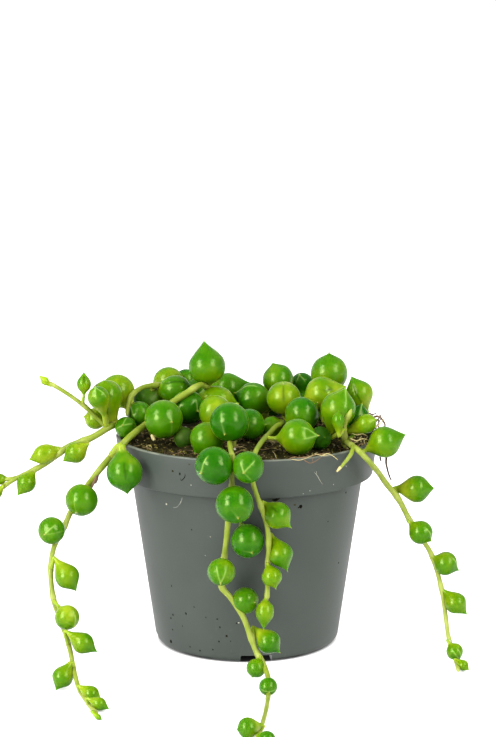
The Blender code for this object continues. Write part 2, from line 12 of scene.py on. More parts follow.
import bmesh
import bpy
import numpy as np
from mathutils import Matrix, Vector, noise

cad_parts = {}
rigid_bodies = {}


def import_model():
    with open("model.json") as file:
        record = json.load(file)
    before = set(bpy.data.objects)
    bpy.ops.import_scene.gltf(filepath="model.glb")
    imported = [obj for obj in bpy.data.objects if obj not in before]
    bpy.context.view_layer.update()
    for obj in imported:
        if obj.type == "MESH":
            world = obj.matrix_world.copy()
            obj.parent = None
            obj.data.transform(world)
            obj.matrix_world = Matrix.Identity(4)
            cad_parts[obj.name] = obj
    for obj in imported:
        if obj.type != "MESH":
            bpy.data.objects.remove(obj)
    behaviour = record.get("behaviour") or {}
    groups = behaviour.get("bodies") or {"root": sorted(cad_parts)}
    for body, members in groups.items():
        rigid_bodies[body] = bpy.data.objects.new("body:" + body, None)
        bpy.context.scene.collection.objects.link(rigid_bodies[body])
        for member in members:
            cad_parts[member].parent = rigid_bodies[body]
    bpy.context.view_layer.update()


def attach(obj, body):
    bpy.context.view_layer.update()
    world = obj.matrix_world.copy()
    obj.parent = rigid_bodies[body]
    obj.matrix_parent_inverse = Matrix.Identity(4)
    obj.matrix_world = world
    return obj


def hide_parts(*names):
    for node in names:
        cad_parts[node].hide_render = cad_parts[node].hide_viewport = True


MM = 0.001
TURN = 2.0 * math.pi

# Pot
POT_HEIGHT = 48.0
RIM_RADIUS = 30.0
BAND_HEIGHT = 8.7
BAND_FOOT = POT_HEIGHT - BAND_HEIGHT
BAND_FOOT_RADIUS = 28.9
STEP_HEIGHT = 0.5
BODY_TOP_RADIUS = 26.6
BODY_FOOT_RADIUS = 21.6
BODY_FOOT = 4.0
FOOT_RADIUS = 19.8
WALL = 0.9
LIP_ROUND = 0.26
RECESS_HEIGHT = 1.1
RECESS_INNER_RADIUS = 7.0
RECESS_OUTER_RADIUS = 15.4
DRAIN_COUNT = 4
DRAIN_HEIGHT = 1.75
DRAIN_WIDTH = 7.0
DRAIN_HOLE_RADIUS = 2.3
DRAIN_TURN = math.radians(-84.3)
POT_SIDES = 192
SHARP_ANGLE = math.radians(38.0)

# Heights in metres where the lip starts to get its wear and painted highlight and the foot its soil and
# painted contact shadow, and where each is full
LIP_WEAR_AND_SHEEN = (0.04768, 0.04792)
FOOT_SOIL_AND_SHADE = (0.0009, 0.0004)

# Marks on the pot's back, which the photo doesn't show
BACK_SPOTS = 46
BACK_SPOT_SIZE = 0.12
BACK_SCRATCHES = 7
BACK_SCRATCH_LOOK = (0.05, 0.95)

# Marks with a tone above this are chalk, the others dirt
CHALK_TONE = 0.8

# How far a speck stands out of the pot
SPOT_DEPTH = 0.07

# Soil
GAP = 0.3
SOIL_EDGE_Z = 46.0
SOIL_MOUND = 2.0
SOIL_ROUGHNESS = 0.22
SOIL_EDGE = RIM_RADIUS - WALL - 0.42
SOIL_EDGE_SINK = 0.9
SOIL_SIDES = 200
CRUMB_COUNT = 4000
FIBRE_COUNT = 340
FIBRE_REACH = 27.6
FIBRE_LIMIT = 28.0
GRAIN_COUNT = 14
GRAIN_REACH = 27.0

# Stems and leaves
ROOT_DEPTH = 4.5
ROUTE_STEP = 0.5
STEM_SIDES = 16
LEAF_SIDES = 44
LEAF_NECK = 0.26
LEAF_NECK_GROWTH = 0.05
LARGE_LEAF_RADIUS = 4.0

# Turns from the middle of a leaf's mark to the points beside it, and where most ridges end
MARK_GAPS = (0.0, 0.018, 0.036, 0.06, 0.09)
RIDGE_END = 1.25

# Marks of a leaf: strength and half width of the colour, height and half width of the relief
MARKS = {
    "ridge": (1.0, 0.2, 0.06, 0.24),
    "faint": (0.4, 0.18, 0.02, 0.3),
    "slit": (1.0, 0.34, -0.07, 0.3),
}

# Setting, in metres and watts
FLOOR_RADIUS = 0.42
FLOOR_GLOW = 0.26
FLOOR_SHADOW_EDGE = (0.0198, 0.0212)  # from the painted shadow under the pot to the white ground
BACKDROP_STRENGTH = 1.07
SOFTBOX_DISTANCE = 0.85
SOFTBOX_AIM = Vector((0.0, 0.0, 0.035))
CAMERA_PLACE = (0.00025, -0.433, 0.1355)
CAMERA_TILT = 9.5
FOCAL_PIXELS = 1923.0
PICTURE_HEIGHT = 737.0
SENSOR_HEIGHT = 36.0
WHITE = (1.0, 1.0, 1.0, 1.0)

# Name, degrees from the front to the right, degrees up, width, height, watts
SOFTBOXES = (
    ("softbox_left_low", -46.0, 17.0, 0.34, 0.36, 8.6),
    ("softbox_left_high", -60.0, 41.0, 0.32, 0.38, 4.6),
    ("softbox_right_low", 44.5, 26.0, 0.30, 0.38, 4.5),
    ("softbox_right_high", 60.0, 47.0, 0.28, 0.34, 2.3),
)


class Line(NamedTuple):
    """A stem from its root in the soil, or a side shoot from its stem."""

    thick: tuple  # radii, spread evenly along it
    fresh: float  # how much paler than other stems it is
    points: tuple


class Leaf(NamedTuple):
    """One leaf; reach and flare are shares of its radius."""

    middle: tuple
    radius: float
    tip: tuple  # the way the tip points
    ripe: float  # 0 deep green, 1 yellow-green, below 0 darkened by painted shade
    reach: float = 1.15  # how far out the tip is
    flare: float = 0.3  # how long the base takes to narrow to the stalk
    straight: float = 0.6  # how straight the point is
    stretch: float = 1.0  # its length beside a round one
    stout: float = 1.0  # its stalk beside other stalks
    marks: tuple = ()  # kind, degrees round the leaf, where along it the mark starts and ends


class Stem(NamedTuple):
    """The stem itself and its side shoots, with the leaves of all of them."""

    lines: tuple
    leaves: tuple


STEMS = {}
STEMS["stem_upper_left"] = Stem(lines=(
    Line((0.66, 0.74, 0.78, 0.66, 0.5, 0.42), -0.12, (
        (-22.0, 2.5, 48.6), (-22.6, 2.3, 50.0), (-26.5, 1.0, 50.5), (-29.6, -1.5, 50.5),
        (-31.4, -4.5, 50.2), (-35.3, -6.0, 48.1), (-40.3, -6.0, 46.2), (-43.1, -6.0, 44.1),
        (-45.6, -6.0, 42.2), (-47.4, -6.0, 41.2), (-49.5, -6.2, 40.2), (-51.5, -6.4, 39.3),
        (-53.8, -6.7, 38.0), (-56.0, -7.0, 36.5), (-58.8, -7.0, 34.4), (-62.3, -7.0, 31.8),
    )),
    Line((0.56, 0.5, 0.46, 0.42), -0.02, (
        (-31.4, -4.5, 50.2), (-32.6, -5.0, 51.2), (-36.1, -6.0, 54.9), (-39.7, -6.0, 57.7),
        (-42.6, -6.0, 59.6), (-44.7, -6.0, 60.8), (-45.3, -6.0, 61.1),
    )),
    Line((0.5, 0.42, 0.36), -0.1, (
        (-50.6, -6.3, 39.7), (-52.4, -6.3, 39.0), (-54.3, -6.3, 38.6), (-55.9, -6.3, 38.6),
    )),
), leaves=(
    Leaf((-31.8, -4.0, 57.5), 3.6, (-0.16, -0.3, 0.94), 0.8, 1.1, 0.8, stout=3.0),
    Leaf((-33.3, -9.0, 58.0), 2.42, (-0.2, -0.49, 0.84), 0.63, 1.1, 1.0, stretch=1.12, stout=1.7, marks=[
        ("ridge", 313, 0.8), ("ridge", 53, 0.26), ("ridge", 352, 0.5),
    ]),
    Leaf((-34.6, -1.5, 51.7), 2.5, (-0.96, -0.17, 0.24), 0.8, 1.1),
    Leaf((-36.7, -6.4, 60.6), 1.6, (0.02, 0.07, 1.0), 0.73, 1.47, 0.35, 0.8, stretch=1.15, marks=[
        ("slit", 5, 0.2, 0.98),
    ]),
    Leaf((-38.7, -7.5, 45.0), 2.4, (-0.81, -0.19, -0.56), 0.72, 1.45, 1.1, 0.7),
    Leaf((-45.9, -6.2, 44.4), 2.22, (-0.94, -0.15, -0.3), 0.94, 1.3, 1.5, 0.8, stretch=1.28, stout=1.8),
    Leaf((-50.0, -7.2, 37.9), 2.2, (-0.56, -0.23, -0.79), 0.58, 1.56, 1.1, 0.7),
    Leaf((-56.4, -6.0, 38.5), 1.32, (-0.99, 0.0, -0.1), 0.6, 1.15, 1.1, stretch=1.3),
    Leaf((-56.7, -8.4, 35.8), 1.27, (-0.69, -0.23, -0.69), 0.75, 1.15, 0.6, stretch=1.2),
    Leaf((-60.8, -6.4, 35.2), 1.2, (-0.97, 0.22, 0.11), 0.6, 1.15, 0.6, stretch=1.2),
    Leaf((-45.5, -6.0, 61.2), 0.92, (-0.73, 0.01, 0.69), 0.85, 1.82, 0.9, 0.5, stretch=1.1),
))
STEMS["stem_arched"] = Stem(lines=(
    Line((0.75, 0.75, 0.6, 0.42), -0.2, (
        (-16.4, 9.8, 48.6), (-16.5, 10.2, 51.6), (-17.4, 10.9, 55.0), (-19.0, 9.6, 57.2),
        (-21.8, 6.2, 58.0), (-24.4, 3.4, 57.9), (-26.4, 0.5, 56.6), (-27.1, -2.0, 54.9),
        (-27.3, -3.8, 52.6),
    )),
), leaves=(
    Leaf((-29.9, 5.0, 56.9), 3.89, (-0.45, 0.57, 0.69), 0.82, 1.0, 0.35),
    Leaf((-27.5, -4.8, 50.3), 2.45, (-0.28, -0.88, 0.38), 0.48, 1.0, marks=[
        ("ridge", 126, 0.61), ("ridge", 68, 0.56), ("ridge", 256, 0.81),
    ]),
    Leaf((-23.1, 9.0, 53.6), 3.81, (-0.65, 0.39, -0.65), -0.35),
    Leaf((-16.8, 7.0, 57.0), 3.2, (0.95, -0.19, 0.23), 0.46, 1.06, stretch=1.22, marks=[
        ("slit", 316, -0.43, 0.9),
    ]),
    Leaf((-18.6, 15.5, 57.2), 3.65, (0.0, 0.9, 0.43), 0.73),
    Leaf((-14.5, 18.0, 57.3), 2.6, (0.53, 0.74, 0.42), 0.34),
    Leaf((-23.6, 15.6, 52.0), 3.4, (-0.84, 0.53, 0.11), 0.3),
    Leaf((-19.6, 20.4, 51.4), 3.0, (-0.4, 0.91, 0.1), 0.3),
))
STEMS["stem_left"] = Stem(lines=(
    Line((0.62, 0.62, 0.8, 0.76, 0.66, 0.58, 0.54, 0.5, 0.42), 0.0, (
        (-8.8, 7.0, 48.6), (-8.8, 7.0, 49.7), (-8.7, 6.6, 54.3), (-8.8, 4.8, 56.7), (-9.4, 2.0, 58.4),
        (-10.6, -0.8, 59.4), (-11.7, -2.2, 59.1), (-13.4, -3.2, 58.1), (-16.8, -4.0, 56.0),
        (-20.4, -4.6, 53.3), (-23.0, -7.9, 51.4), (-25.9, -12.0, 49.8), (-28.0, -14.2, 47.9),
        (-31.1, -17.5, 45.0), (-33.7, -18.3, 41.9), (-36.5, -15.6, 37.3), (-38.9, -18.8, 34.1),
        (-40.3, -20.5, 31.0), (-42.3, -23.6, 27.2), (-42.8, -26.2, 23.0), (-42.4, -28.0, 18.8),
        (-41.6, -28.6, 15.1), (-39.8, -29.5, 10.3), (-38.2, -33.6, 7.2), (-37.0, -38.0, 4.2),
        (-35.4, -44.0, 2.0), (-32.9, -50.5, 0.9), (-30.6, -56.8, 0.8),
    )),
    Line((0.5, 0.42), 0.0, (
        (-8.8, 7.0, 49.0), (-9.6, 1.0, 49.6), (-11.2, -4.0, 49.6), (-12.8, -7.0, 49.6),
        (-13.6, -8.6, 49.9),
    )),
), leaves=(
    Leaf((-9.2, 3.0, 63.0), 4.3, (-0.13, 0.06, 0.99), 0.49, 1.36, 0.06, 0.8),
    Leaf((-13.5, -0.5, 54.1), 3.9, (0.59, -0.81, -0.07), 0.33, 1.0, marks=[("ridge", 273, 0.76)]),
    Leaf((-7.1, 2.5, 55.0), 3.52, (0.99, -0.11, -0.07), 0.77, 1.16, 0.3, 0.7, stretch=1.25),
    Leaf((-7.1, -7.5, 54.4), 3.72, (0.05, -0.99, -0.12), 0.78, 1.05),
    Leaf((-18.6, -11.0, 53.4), 4.29, (0.47, -0.88, 0.02), 0.52, 1.0, marks=[
        ("faint", 259, 0.85), ("faint", 95, 0.58),
    ]),
    Leaf((-24.6, -0.6, 52.6), 2.88, (-0.63, -0.45, 0.64), 0.35, 1.08, marks=[("ridge", 338, 0.52)]),
    Leaf((-14.0, -11.0, 49.1), 2.33, (0.49, -0.24, -0.84), -0.7, 1.15, 0.3, 0.7, stretch=1.1, marks=[
        ("faint", 337, 0.11),
    ]),
    Leaf((-26.8, -21.0, 43.4), 4.01, (0.14, -0.26, -0.96), 0.48, 1.17, stout=2.2, marks=[
        ("slit", 353, -0.47, 0.39),
    ]),
    Leaf((-36.4, -20.0, 37.0), 3.6, (-0.28, -0.73, -0.62), 0.61, 1.0, marks=[("faint", 33, 0.36)]),
    Leaf((-42.7, -24.4, 31.2), 3.0, (-0.4, -0.92, -0.05), 0.59, 1.0, marks=[
        ("ridge", 316, 0.49), ("faint", 277, 0.18),
    ]),
    Leaf((-39.0, -28.0, 21.8), 2.7, (0.57, -0.24, -0.79), 0.64, 1.35, 1.1),
    Leaf((-38.8, -32.2, 13.9), 2.7, (0.6, -0.58, -0.55), 0.72, 1.0, marks=[
        ("ridge", 298, 0.23), ("faint", 4, 0.61),
    ]),
    Leaf((-35.2, -35.0, 9.0), 2.3, (0.82, -0.19, -0.54), 0.63, 1.57, 0.9, 0.35),
    Leaf((-39.3, -39.0, 2.8), 2.28, (-0.47, -0.24, -0.85), 0.53, 1.38, 0.5, stout=1.5),
    Leaf((-32.6, -47.0, 1.8), 1.7, (0.85, -0.28, -0.45), 0.81, 1.45, 0.7, stretch=1.1),
    Leaf((-30.5, -52.6, 1.6), 1.4, (0.91, -0.17, -0.38), 0.63, 1.51, 0.7, stretch=1.1),
    Leaf((-30.4, -57.6, 0.6), 0.59, (0.78, -0.2, -0.59), 0.85, 1.55, 0.9, 0.5, stretch=1.3),
))
STEMS["stem_middle_left"] = Stem(lines=(
    Line((0.5, 0.52, 0.58, 0.6, 0.62, 0.6, 0.5, 0.48, 0.42), 0.03, (
        (-3.0, -13.5, 48.4), (-3.0, -13.9, 50.0), (-3.7, -17.5, 50.2), (-3.7, -25.0, 50.6),
        (-3.4, -29.5, 50.0), (-3.0, -32.2, 48.6), (-3.2, -33.0, 45.6), (-3.3, -32.4, 41.6),
        (-3.9, -31.2, 37.0), (-4.3, -30.5, 32.2), (-4.8, -29.3, 27.2), (-5.3, -28.3, 22.8),
        (-5.5, -28.6, 19.8), (-3.4, -29.0, 17.2), (-0.9, -30.2, 13.6), (0.7, -30.4, 9.4),
        (2.0, -31.0, 5.9), (3.2, -32.4, 4.2), (4.0, -34.6, 3.1), (4.6, -37.6, 2.0), (4.6, -43.8, 1.4),
        (4.2, -52.0, 1.2), (3.4, -61.0, 1.2), (2.4, -69.0, 1.2), (0.9, -78.4, 1.2),
    )),
), leaves=(
    Leaf((-3.8, -21.0, 54.7), 4.32, (-0.25, -0.84, -0.47), 0.3, 1.0, marks=[("faint", 44, 0.35)]),
    Leaf((-8.8, -16.6, 50.0), 3.76, (-0.64, -0.29, -0.71), 0.59, 1.1, 0.3, 0.7),
    Leaf((0.6, -10.0, 52.0), 3.5, (0.95, -0.32, 0.08), 0.36, 1.05),
    Leaf((-6.9, -35.5, 48.1), 4.06, (-0.67, -0.7, -0.27), 0.12, 1.0, marks=[
        ("ridge", 57, 0.54), ("faint", 221, 0.85),
    ]),
    Leaf((-2.6, -36.6, 40.0), 4.0, (0.16, -0.84, -0.52), 0.41, 1.0, marks=[("faint", 19, 0.89)]),
    Leaf((0.2, -29.8, 30.3), 3.63, (0.27, -0.82, -0.51), 0.33, 0.99, 0.5, marks=[
        ("faint", 52, 0.84), ("faint", 331, 0.99),
    ]),
    Leaf((-5.5, -32.0, 24.0), 3.0, (0.0, -0.81, -0.59), 0.51, 1.0, marks=[
        ("ridge", 18, 0.28), ("ridge", 337, 0.47),
    ]),
    Leaf((-0.3, -28.5, 16.6), 2.89, (0.68, -0.73, 0.05), 0.57, 1.0, 0.5),
    Leaf((4.8, -30.0, 7.7), 2.61, (0.72, -0.3, -0.63), 0.39, 1.25, 0.75, 0.4),
    Leaf((2.0, -33.5, 2.9), 2.08, (-0.38, -0.4, -0.83), 0.47, 1.03, 0.2, marks=[("faint", 37, 0.89)]),
    Leaf((4.5, -44.5, 2.5), 1.94, (0.11, -0.94, -0.32), 0.53, 1.0, marks=[
        ("ridge", 82, 0.65), ("ridge", 280, 0.75),
    ]),
    Leaf((0.2, -69.0, 2.4), 2.1, (-0.94, -0.33, -0.06), 0.5, 1.1, 0.6),
    Leaf((4.0, -73.4, 1.8), 1.5, (0.76, -0.65, 0.0), 0.5, 1.15, 0.5, stretch=1.2),
))
STEMS["stem_middle_right"] = Stem(lines=(
    Line((0.56, 0.6, 0.54, 0.54, 0.54, 0.5), -0.12, (
        (5.5, 0.2, 48.8), (5.7, -0.2, 50.4), (7.9, -2.6, 51.0), (8.1, -7.0, 51.6), (6.7, -10.4, 51.8),
        (5.0, -15.0, 51.0), (3.3, -21.6, 50.5), (2.1, -28.0, 50.0), (1.3, -31.4, 48.6),
        (1.0, -32.0, 45.4), (1.9, -32.0, 41.6), (3.3, -31.7, 37.6), (4.4, -31.5, 33.8),
        (4.7, -31.2, 29.4), (4.5, -30.2, 24.9), (4.5, -29.8, 20.2), (4.3, -30.4, 16.9),
    )),
), leaves=(
    Leaf((5.6, -5.0, 50.3), 2.54, (-0.74, -0.53, 0.42), 0.6),
    Leaf((11.2, -20.0, 51.2), 4.0, (0.96, -0.26, 0.12), 0.67, 1.12, marks=[
        ("ridge", 313, 0.5), ("ridge", 357, 0.54),
    ]),
    Leaf((0.2, -36.3, 48.0), 3.38, (-0.28, -0.95, -0.14), 0.41, 0.99, marks=[
        ("ridge", 21, 0.8), ("ridge", 316, 0.49), ("faint", 217, 0.71),
    ]),
    Leaf((6.6, -31.0, 36.2), 2.94, (0.71, -0.33, -0.62), 0.69, 1.3, 0.4, 0.3, marks=[
        ("slit", 340, -0.61, 0.05),
    ]),
    Leaf((7.3, -30.0, 27.3), 2.7, (0.42, -0.25, -0.87), 0.59, 1.4, 0.9, 0.5),
    Leaf((5.4, -31.8, 22.8), 2.18, (0.31, -0.25, -0.92), 0.81, 1.21, 0.4, 0.3),
    Leaf((3.9, -31.0, 14.7), 1.97, (-0.06, -0.26, -0.96), 0.72, 1.44, 0.9, 0.5, stretch=1.3),
))
STEMS["stem_front_right"] = Stem(lines=(
    Line((0.8, 0.7), 0.0, (
        (13.5, -2.5, 48.8), (13.5, -2.4, 51.4), (13.4, -1.4, 53.8), (13.9, -0.8, 55.4),
    )),
    Line((0.68, 0.56), 0.0, (
        (13.5, -2.5, 49.8), (13.8, -6.5, 49.5), (14.4, -10.6, 49.4),
    )),
), leaves=(
    Leaf((8.4, -0.5, 56.3), 3.84, (-0.03, -0.43, 0.9), 0.79, 1.02, marks=[("slit", 359, 0.43, 0.98)]),
    Leaf((12.4, -8.0, 54.0), 3.87, (0.74, 0.42, 0.53), 0.37),
    Leaf((17.3, -1.0, 57.3), 4.02, (0.93, -0.04, 0.36), 0.83, 1.39, 0.3, 0.7, marks=[
        ("ridge", 252, 1.03), ("ridge", 358, 0.87), ("slit", 343, 0.23, 0.65),
    ]),
    Leaf((16.3, -14.0, 49.7), 2.53, (0.34, -0.91, 0.23), -0.35),
))
STEMS["stem_right"] = Stem(lines=(
    Line((0.6, 0.62, 0.66, 0.56, 0.5, 0.42), 0.2, (
        (21.9, -10.6, 47.5), (21.8, -11.4, 48.6), (22.5, -13.8, 48.6), (23.4, -17.6, 48.6),
        (24.6, -20.6, 48.1), (26.8, -20.0, 45.7), (29.1, -16.5, 42.5), (31.1, -13.2, 39.2),
        (34.2, -11.0, 34.9), (36.5, -11.5, 30.6), (38.7, -12.0, 27.0), (41.2, -12.9, 23.4),
        (42.9, -14.0, 18.7), (44.0, -14.9, 13.9), (44.7, -16.0, 8.9), (45.2, -17.4, 5.0),
        (45.9, -20.4, 2.6), (46.3, -24.6, 1.3), (46.2, -29.6, 0.9),
    )),
    Line((0.85, 0.7, 0.5, 0.6, 0.56), 0.12, (
        (21.8, -11.4, 48.4), (21.6, -14.0, 51.1), (21.8, -15.8, 53.9), (22.6, -16.2, 55.5),
        (23.1, -16.2, 56.7),
    )),
    Line((0.5, 0.47, 0.43, 0.36, 0.2), 0.0, (
        (23.5, -18.6, 48.7), (22.7, -21.8, 47.7), (21.5, -23.6, 46.5), (20.5, -24.5, 45.5),
        (19.5, -25.0, 44.6),
    )),
), leaves=(
    Leaf((20.4, -12.5, 56.0), 3.92, (0.3, -0.08, 0.95), 0.64, 1.2, 1.25, 0.7, stretch=1.05, marks=[
        ("ridge", 16, 0.62), ("faint", 291, 0.68),
    ]),
    Leaf((20.1, -17.6, 54.3), 1.4, (0.0, 0.07, 1.0), 0.62, 1.16, 0.6, 0.5, stretch=1.35),
    Leaf((24.9, -10.2, 53.7), 2.51, (0.24, -0.18, 0.95), 0.22, 1.2, 0.6, 0.7, stretch=1.1, marks=[
        ("ridge", 356, 0.34),
    ]),
    Leaf((26.4, -14.8, 53.1), 2.13, (0.77, -0.47, 0.43), 0.73, 1.15, 1.3, 0.7, stretch=1.15, stout=1.6),
    Leaf((30.6, -16.2, 49.3), 3.52, (0.91, -0.03, 0.4), 0.57, 1.35, 0.4, 0.85),
    Leaf((38.3, -10.0, 37.2), 3.07, (0.96, -0.26, 0.06), 0.64, 1.28, 0.6, 0.8, stout=1.7),
    Leaf((38.9, -15.2, 28.4), 2.7, (0.74, -0.21, -0.64), 0.57, 1.11, marks=[("ridge", 319, 0.04)]),
    Leaf((44.7, -14.2, 21.0), 2.7, (0.89, -0.17, -0.43), 0.51, 1.21, 0.7, 0.5, marks=[
        ("ridge", 308, 0.21),
    ]),
    Leaf((46.9, -16.0, 12.3), 2.4, (0.69, -0.27, -0.67), 0.6, 1.46, 1.2, 0.5),
    Leaf((46.1, -22.8, 3.2), 1.91, (0.55, -0.24, -0.8), 0.66, 1.12, 0.2, marks=[
        ("ridge", 2, -0.37), ("ridge", 327, 0.01),
    ]),
    Leaf((47.5, -26.9, 1.4), 1.2, (0.73, -0.53, -0.43), 0.94, 1.3, 0.7, 0.7, stretch=1.1),
))
STEMS["stem_back_right"] = Stem(lines=(
    Line((0.8, 0.6), 0.0, (
        (23.8, 6.8, 48.2), (23.8, 6.9, 50.8), (23.4, 7.4, 53.4), (21.4, 8.2, 55.8),
    )),
), leaves=(
    Leaf((19.1, 8.0, 60.6), 4.28, (-0.02, -0.15, 0.99), 0.63, 1.1, 0.3, 0.9, stretch=1.04),
    Leaf((25.9, 4.0, 56.5), 3.19, (-0.41, 0.01, 0.91), 0.66, 1.38, 0.5, 0.85, marks=[
        ("slit", 351, -0.53, 0.84),
    ]),
    Leaf((24.5, 11.2, 52.2), 2.7, (0.84, 0.53, 0.11), 0.4),
    Leaf((18.1, 10.0, 51.7), 3.05, (0.1, 0.87, 0.48), 0.35),
    Leaf((22.4, 0.2, 51.4), 2.9, (-0.1, -0.94, 0.31), 0.3),
))
STEMS["stem_trailing_back_left"] = Stem(lines=(
    Line((0.8, 0.65, 0.55, 0.42), 0.0, (
        (-8.0, 14.8, 48.4), (-8.1, 15.2, 50.6), (-9.4, 20.0, 51.3), (-11.8, 26.0, 51.0),
        (-13.2, 30.0, 49.4), (-13.9, 31.4, 45.6), (-14.1, 30.8, 40.6), (-14.4, 29.6, 35.2),
        (-14.6, 28.6, 30.0), (-14.8, 27.8, 25.4),
    )),
), leaves=(
    Leaf((-4.4, 14.0, 55.8), 3.82, (0.96, -0.06, 0.27), 0.5, 1.38, 0.3, 0.8),
    Leaf((-4.6, 20.4, 51.8), 3.4, (0.31, 0.21, 0.93), 0.3),
    Leaf((-11.3, 12.0, 55.7), 3.17, (-0.74, -0.64, 0.21), 0.4),
    Leaf((-7.6, 13.0, 55.1), 2.83, (0.69, 0.69, 0.23), 0.4),
    Leaf((-17.2, 26.6, 51.5), 2.9, (-0.89, 0.44, 0.11), 0.5),
    Leaf((-10.2, 33.8, 45.0), 3.2, (0.54, 0.65, -0.54), 0.44),
    Leaf((-17.8, 33.0, 41.0), 2.9, (-0.61, 0.61, -0.51), 0.38),
    Leaf((-11.2, 32.2, 36.4), 2.7, (0.61, 0.51, -0.61), 0.32),
    Leaf((-17.4, 30.6, 31.6), 2.4, (-0.61, 0.51, -0.61), 0.26),
    Leaf((-12.4, 29.4, 27.0), 2.1, (0.5, 0.5, -0.7), 0.2),
    Leaf((-15.2, 27.8, 22.6), 1.8, (-0.2, 0.1, -0.97), 0.62, stretch=1.2),
))
STEMS["stem_trailing_back"] = Stem(lines=(
    Line((0.8, 0.65, 0.55, 0.42), -0.2, (
        (4.2, 13.2, 48.4), (4.3, 13.8, 51.0), (4.0, 20.0, 51.2), (3.6, 27.0, 51.0), (3.3, 32.0, 49.8),
        (3.0, 33.8, 46.0), (2.6, 33.2, 40.6), (2.2, 31.8, 35.0), (2.4, 30.6, 29.6), (2.8, 29.4, 24.6),
        (2.6, 28.6, 20.6),
    )),
), leaves=(
    Leaf((1.4, 6.0, 54.8), 4.02, (-0.94, -0.05, 0.35), 0.36, 1.08, marks=[("ridge", 60, 0.1)]),
    Leaf((7.3, 12.0, 58.4), 3.7, (-0.34, -0.02, 0.94), 0.55, 1.12, 0.3, 0.85),
    Leaf((9.8, 19.6, 52.1), 3.4, (0.91, 0.34, 0.23), 0.3),
    Leaf((13.7, 14.0, 52.9), 2.72, (-0.42, 0.53, 0.74), 0.35),
    Leaf((5.6, 27.4, 49.7), 3.3, (0.81, 0.58, 0.12), 0.3),
    Leaf((-1.2, 34.8, 46.4), 3.2, (-0.74, 0.53, -0.42), 0.2),
    Leaf((6.6, 35.6, 42.2), 3.1, (0.61, 0.61, -0.51), 0.5),
    Leaf((-1.0, 34.0, 37.0), 2.8, (-0.51, 0.61, -0.61), 0.32),
    Leaf((5.6, 32.6, 32.0), 2.5, (0.61, 0.51, -0.61), 0.62),
    Leaf((-0.2, 31.0, 26.8), 2.2, (-0.5, 0.5, -0.7), 0.44),
    Leaf((2.8, 28.4, 18.0), 1.8, (0.1, -0.1, -0.99), 0.26, stretch=1.2),
))
STEMS["stem_trailing_back_right"] = Stem(lines=(
    Line((0.8, 0.65, 0.55, 0.42), 0.0, (
        (15.2, 10.6, 48.4), (15.2, 11.0, 50.8), (15.8, 16.4, 51.2), (16.2, 22.6, 51.0),
        (16.4, 27.6, 49.9), (16.6, 29.6, 46.2), (16.4, 29.4, 40.8), (15.6, 28.8, 35.4),
        (14.8, 28.0, 30.2),
    )),
), leaves=(
    Leaf((13.1, 16.0, 56.6), 2.89, (-0.21, -0.46, 0.87), 0.2, 1.0, marks=[
        ("ridge", 323, 0.75), ("ridge", 25, 0.72),
    ]),
    Leaf((20.2, 21.2, 51.8), 2.8, (0.89, 0.44, 0.11), 0.2),
    Leaf((12.6, 32.2, 46.0), 3.0, (-0.5, 0.7, -0.5), 0.38),
    Leaf((19.8, 30.8, 42.2), 3.0, (0.64, 0.64, -0.43), 0.56),
    Leaf((12.8, 31.0, 36.0), 2.6, (-0.51, 0.61, -0.61), 0.26),
    Leaf((17.8, 29.8, 31.4), 2.3, (0.61, 0.51, -0.61), 0.44),
    Leaf((14.4, 27.6, 27.4), 1.8, (-0.1, -0.1, -0.99), 0.62, stretch=1.2),
))


# Specks and pale spots on the pot: degrees round it, height, half width, half height, tone
POT_SPOTS = (
    (-138.2, 9.3, 0.27, 0.35, 0.1), (-140.5, 8.3, 0.22, 0.27, 0.1), (-127.2, 10.5, 0.27, 0.41, 0.12),
    (-107.0, 10.3, 0.30, 0.19, 0.1), (-105.6, 8.4, 0.19, 0.27, 0.1), (-101.8, 6.4, 0.30, 0.30, 0.12),
    (-140.3, 5.5, 0.22, 0.22, 0.1), (-143.8, 2.3, 0.45, 0.49, 0.05), (-126.7, 2.5, 0.24, 0.19, 0.1),
    (-119.5, 2.1, 0.25, 0.25, 0.1), (-110.7, 2.8, 0.20, 0.24, 0.15), (-106.6, 4.9, 0.22, 0.27, 0.1),
    (-136.2, 16.4, 0.16, 0.27, 0.1), (-118.4, 30.9, 0.16, 0.22, 0.12), (-30.4, 20.6, 0.24, 0.19, 0.1),
    (-45.3, 31.7, 0.16, 0.19, 0.1), (-33.1, 37.4, 0.22, 0.27, 0.1), (-113.9, 10.4, 0.19, 0.16, 0.2),
    (-63.3, 36.4, 0.46, 0.56, 0.02), (-64.3, 36.2, 0.30, 0.26, 0.3), (-66.5, 36.9, 0.34, 0.24, 0.5),
    (-76.4, 38.4, 0.62, 0.42, 0.02), (-75.2, 38.7, 0.40, 0.30, 0.12), (-77.6, 38.5, 0.34, 0.26, 0.3),
    (-106.4, 39.2, 0.41, 0.27, 0.1), (-108.3, 39.1, 0.22, 0.19, 0.15), (-95.7, 9.6, 0.22, 0.22, 0.05),
    (-121.0, 12.5, 0.16, 0.19, 0.12), (-131.0, 7.2, 0.16, 0.19, 0.1), (-99.5, 5.2, 0.16, 0.16, 0.1),
    (-123.0, 44.6, 0.34, 0.30, 0.3), (-119.5, 44.2, 0.27, 0.41, 0.12), (-114.5, 46.6, 0.30, 0.20, 0.5),
    (-94.7, 9.7, 0.26, 0.20, 0.95), (-114.4, 41.9, 0.15, 0.15, 0.95), (-132.7, 35.9, 0.30, 0.27, 0.95),
    (-108.4, 29.7, 0.14, 0.14, 0.95), (-111.8, 25.2, 0.12, 0.12, 0.95), (-61.9, 40.4, 0.16, 0.10, 0.95),
    (-49.4, 41.0, 0.14, 0.14, 0.95), (-65.0, 39.9, 0.20, 0.08, 0.95), (-42.6, 44.7, 0.10, 0.10, 0.95),
    (-123.4, 37.0, 0.20, 0.24, 0.9), (-127.4, 35.5, 0.24, 0.10, 0.86),
)

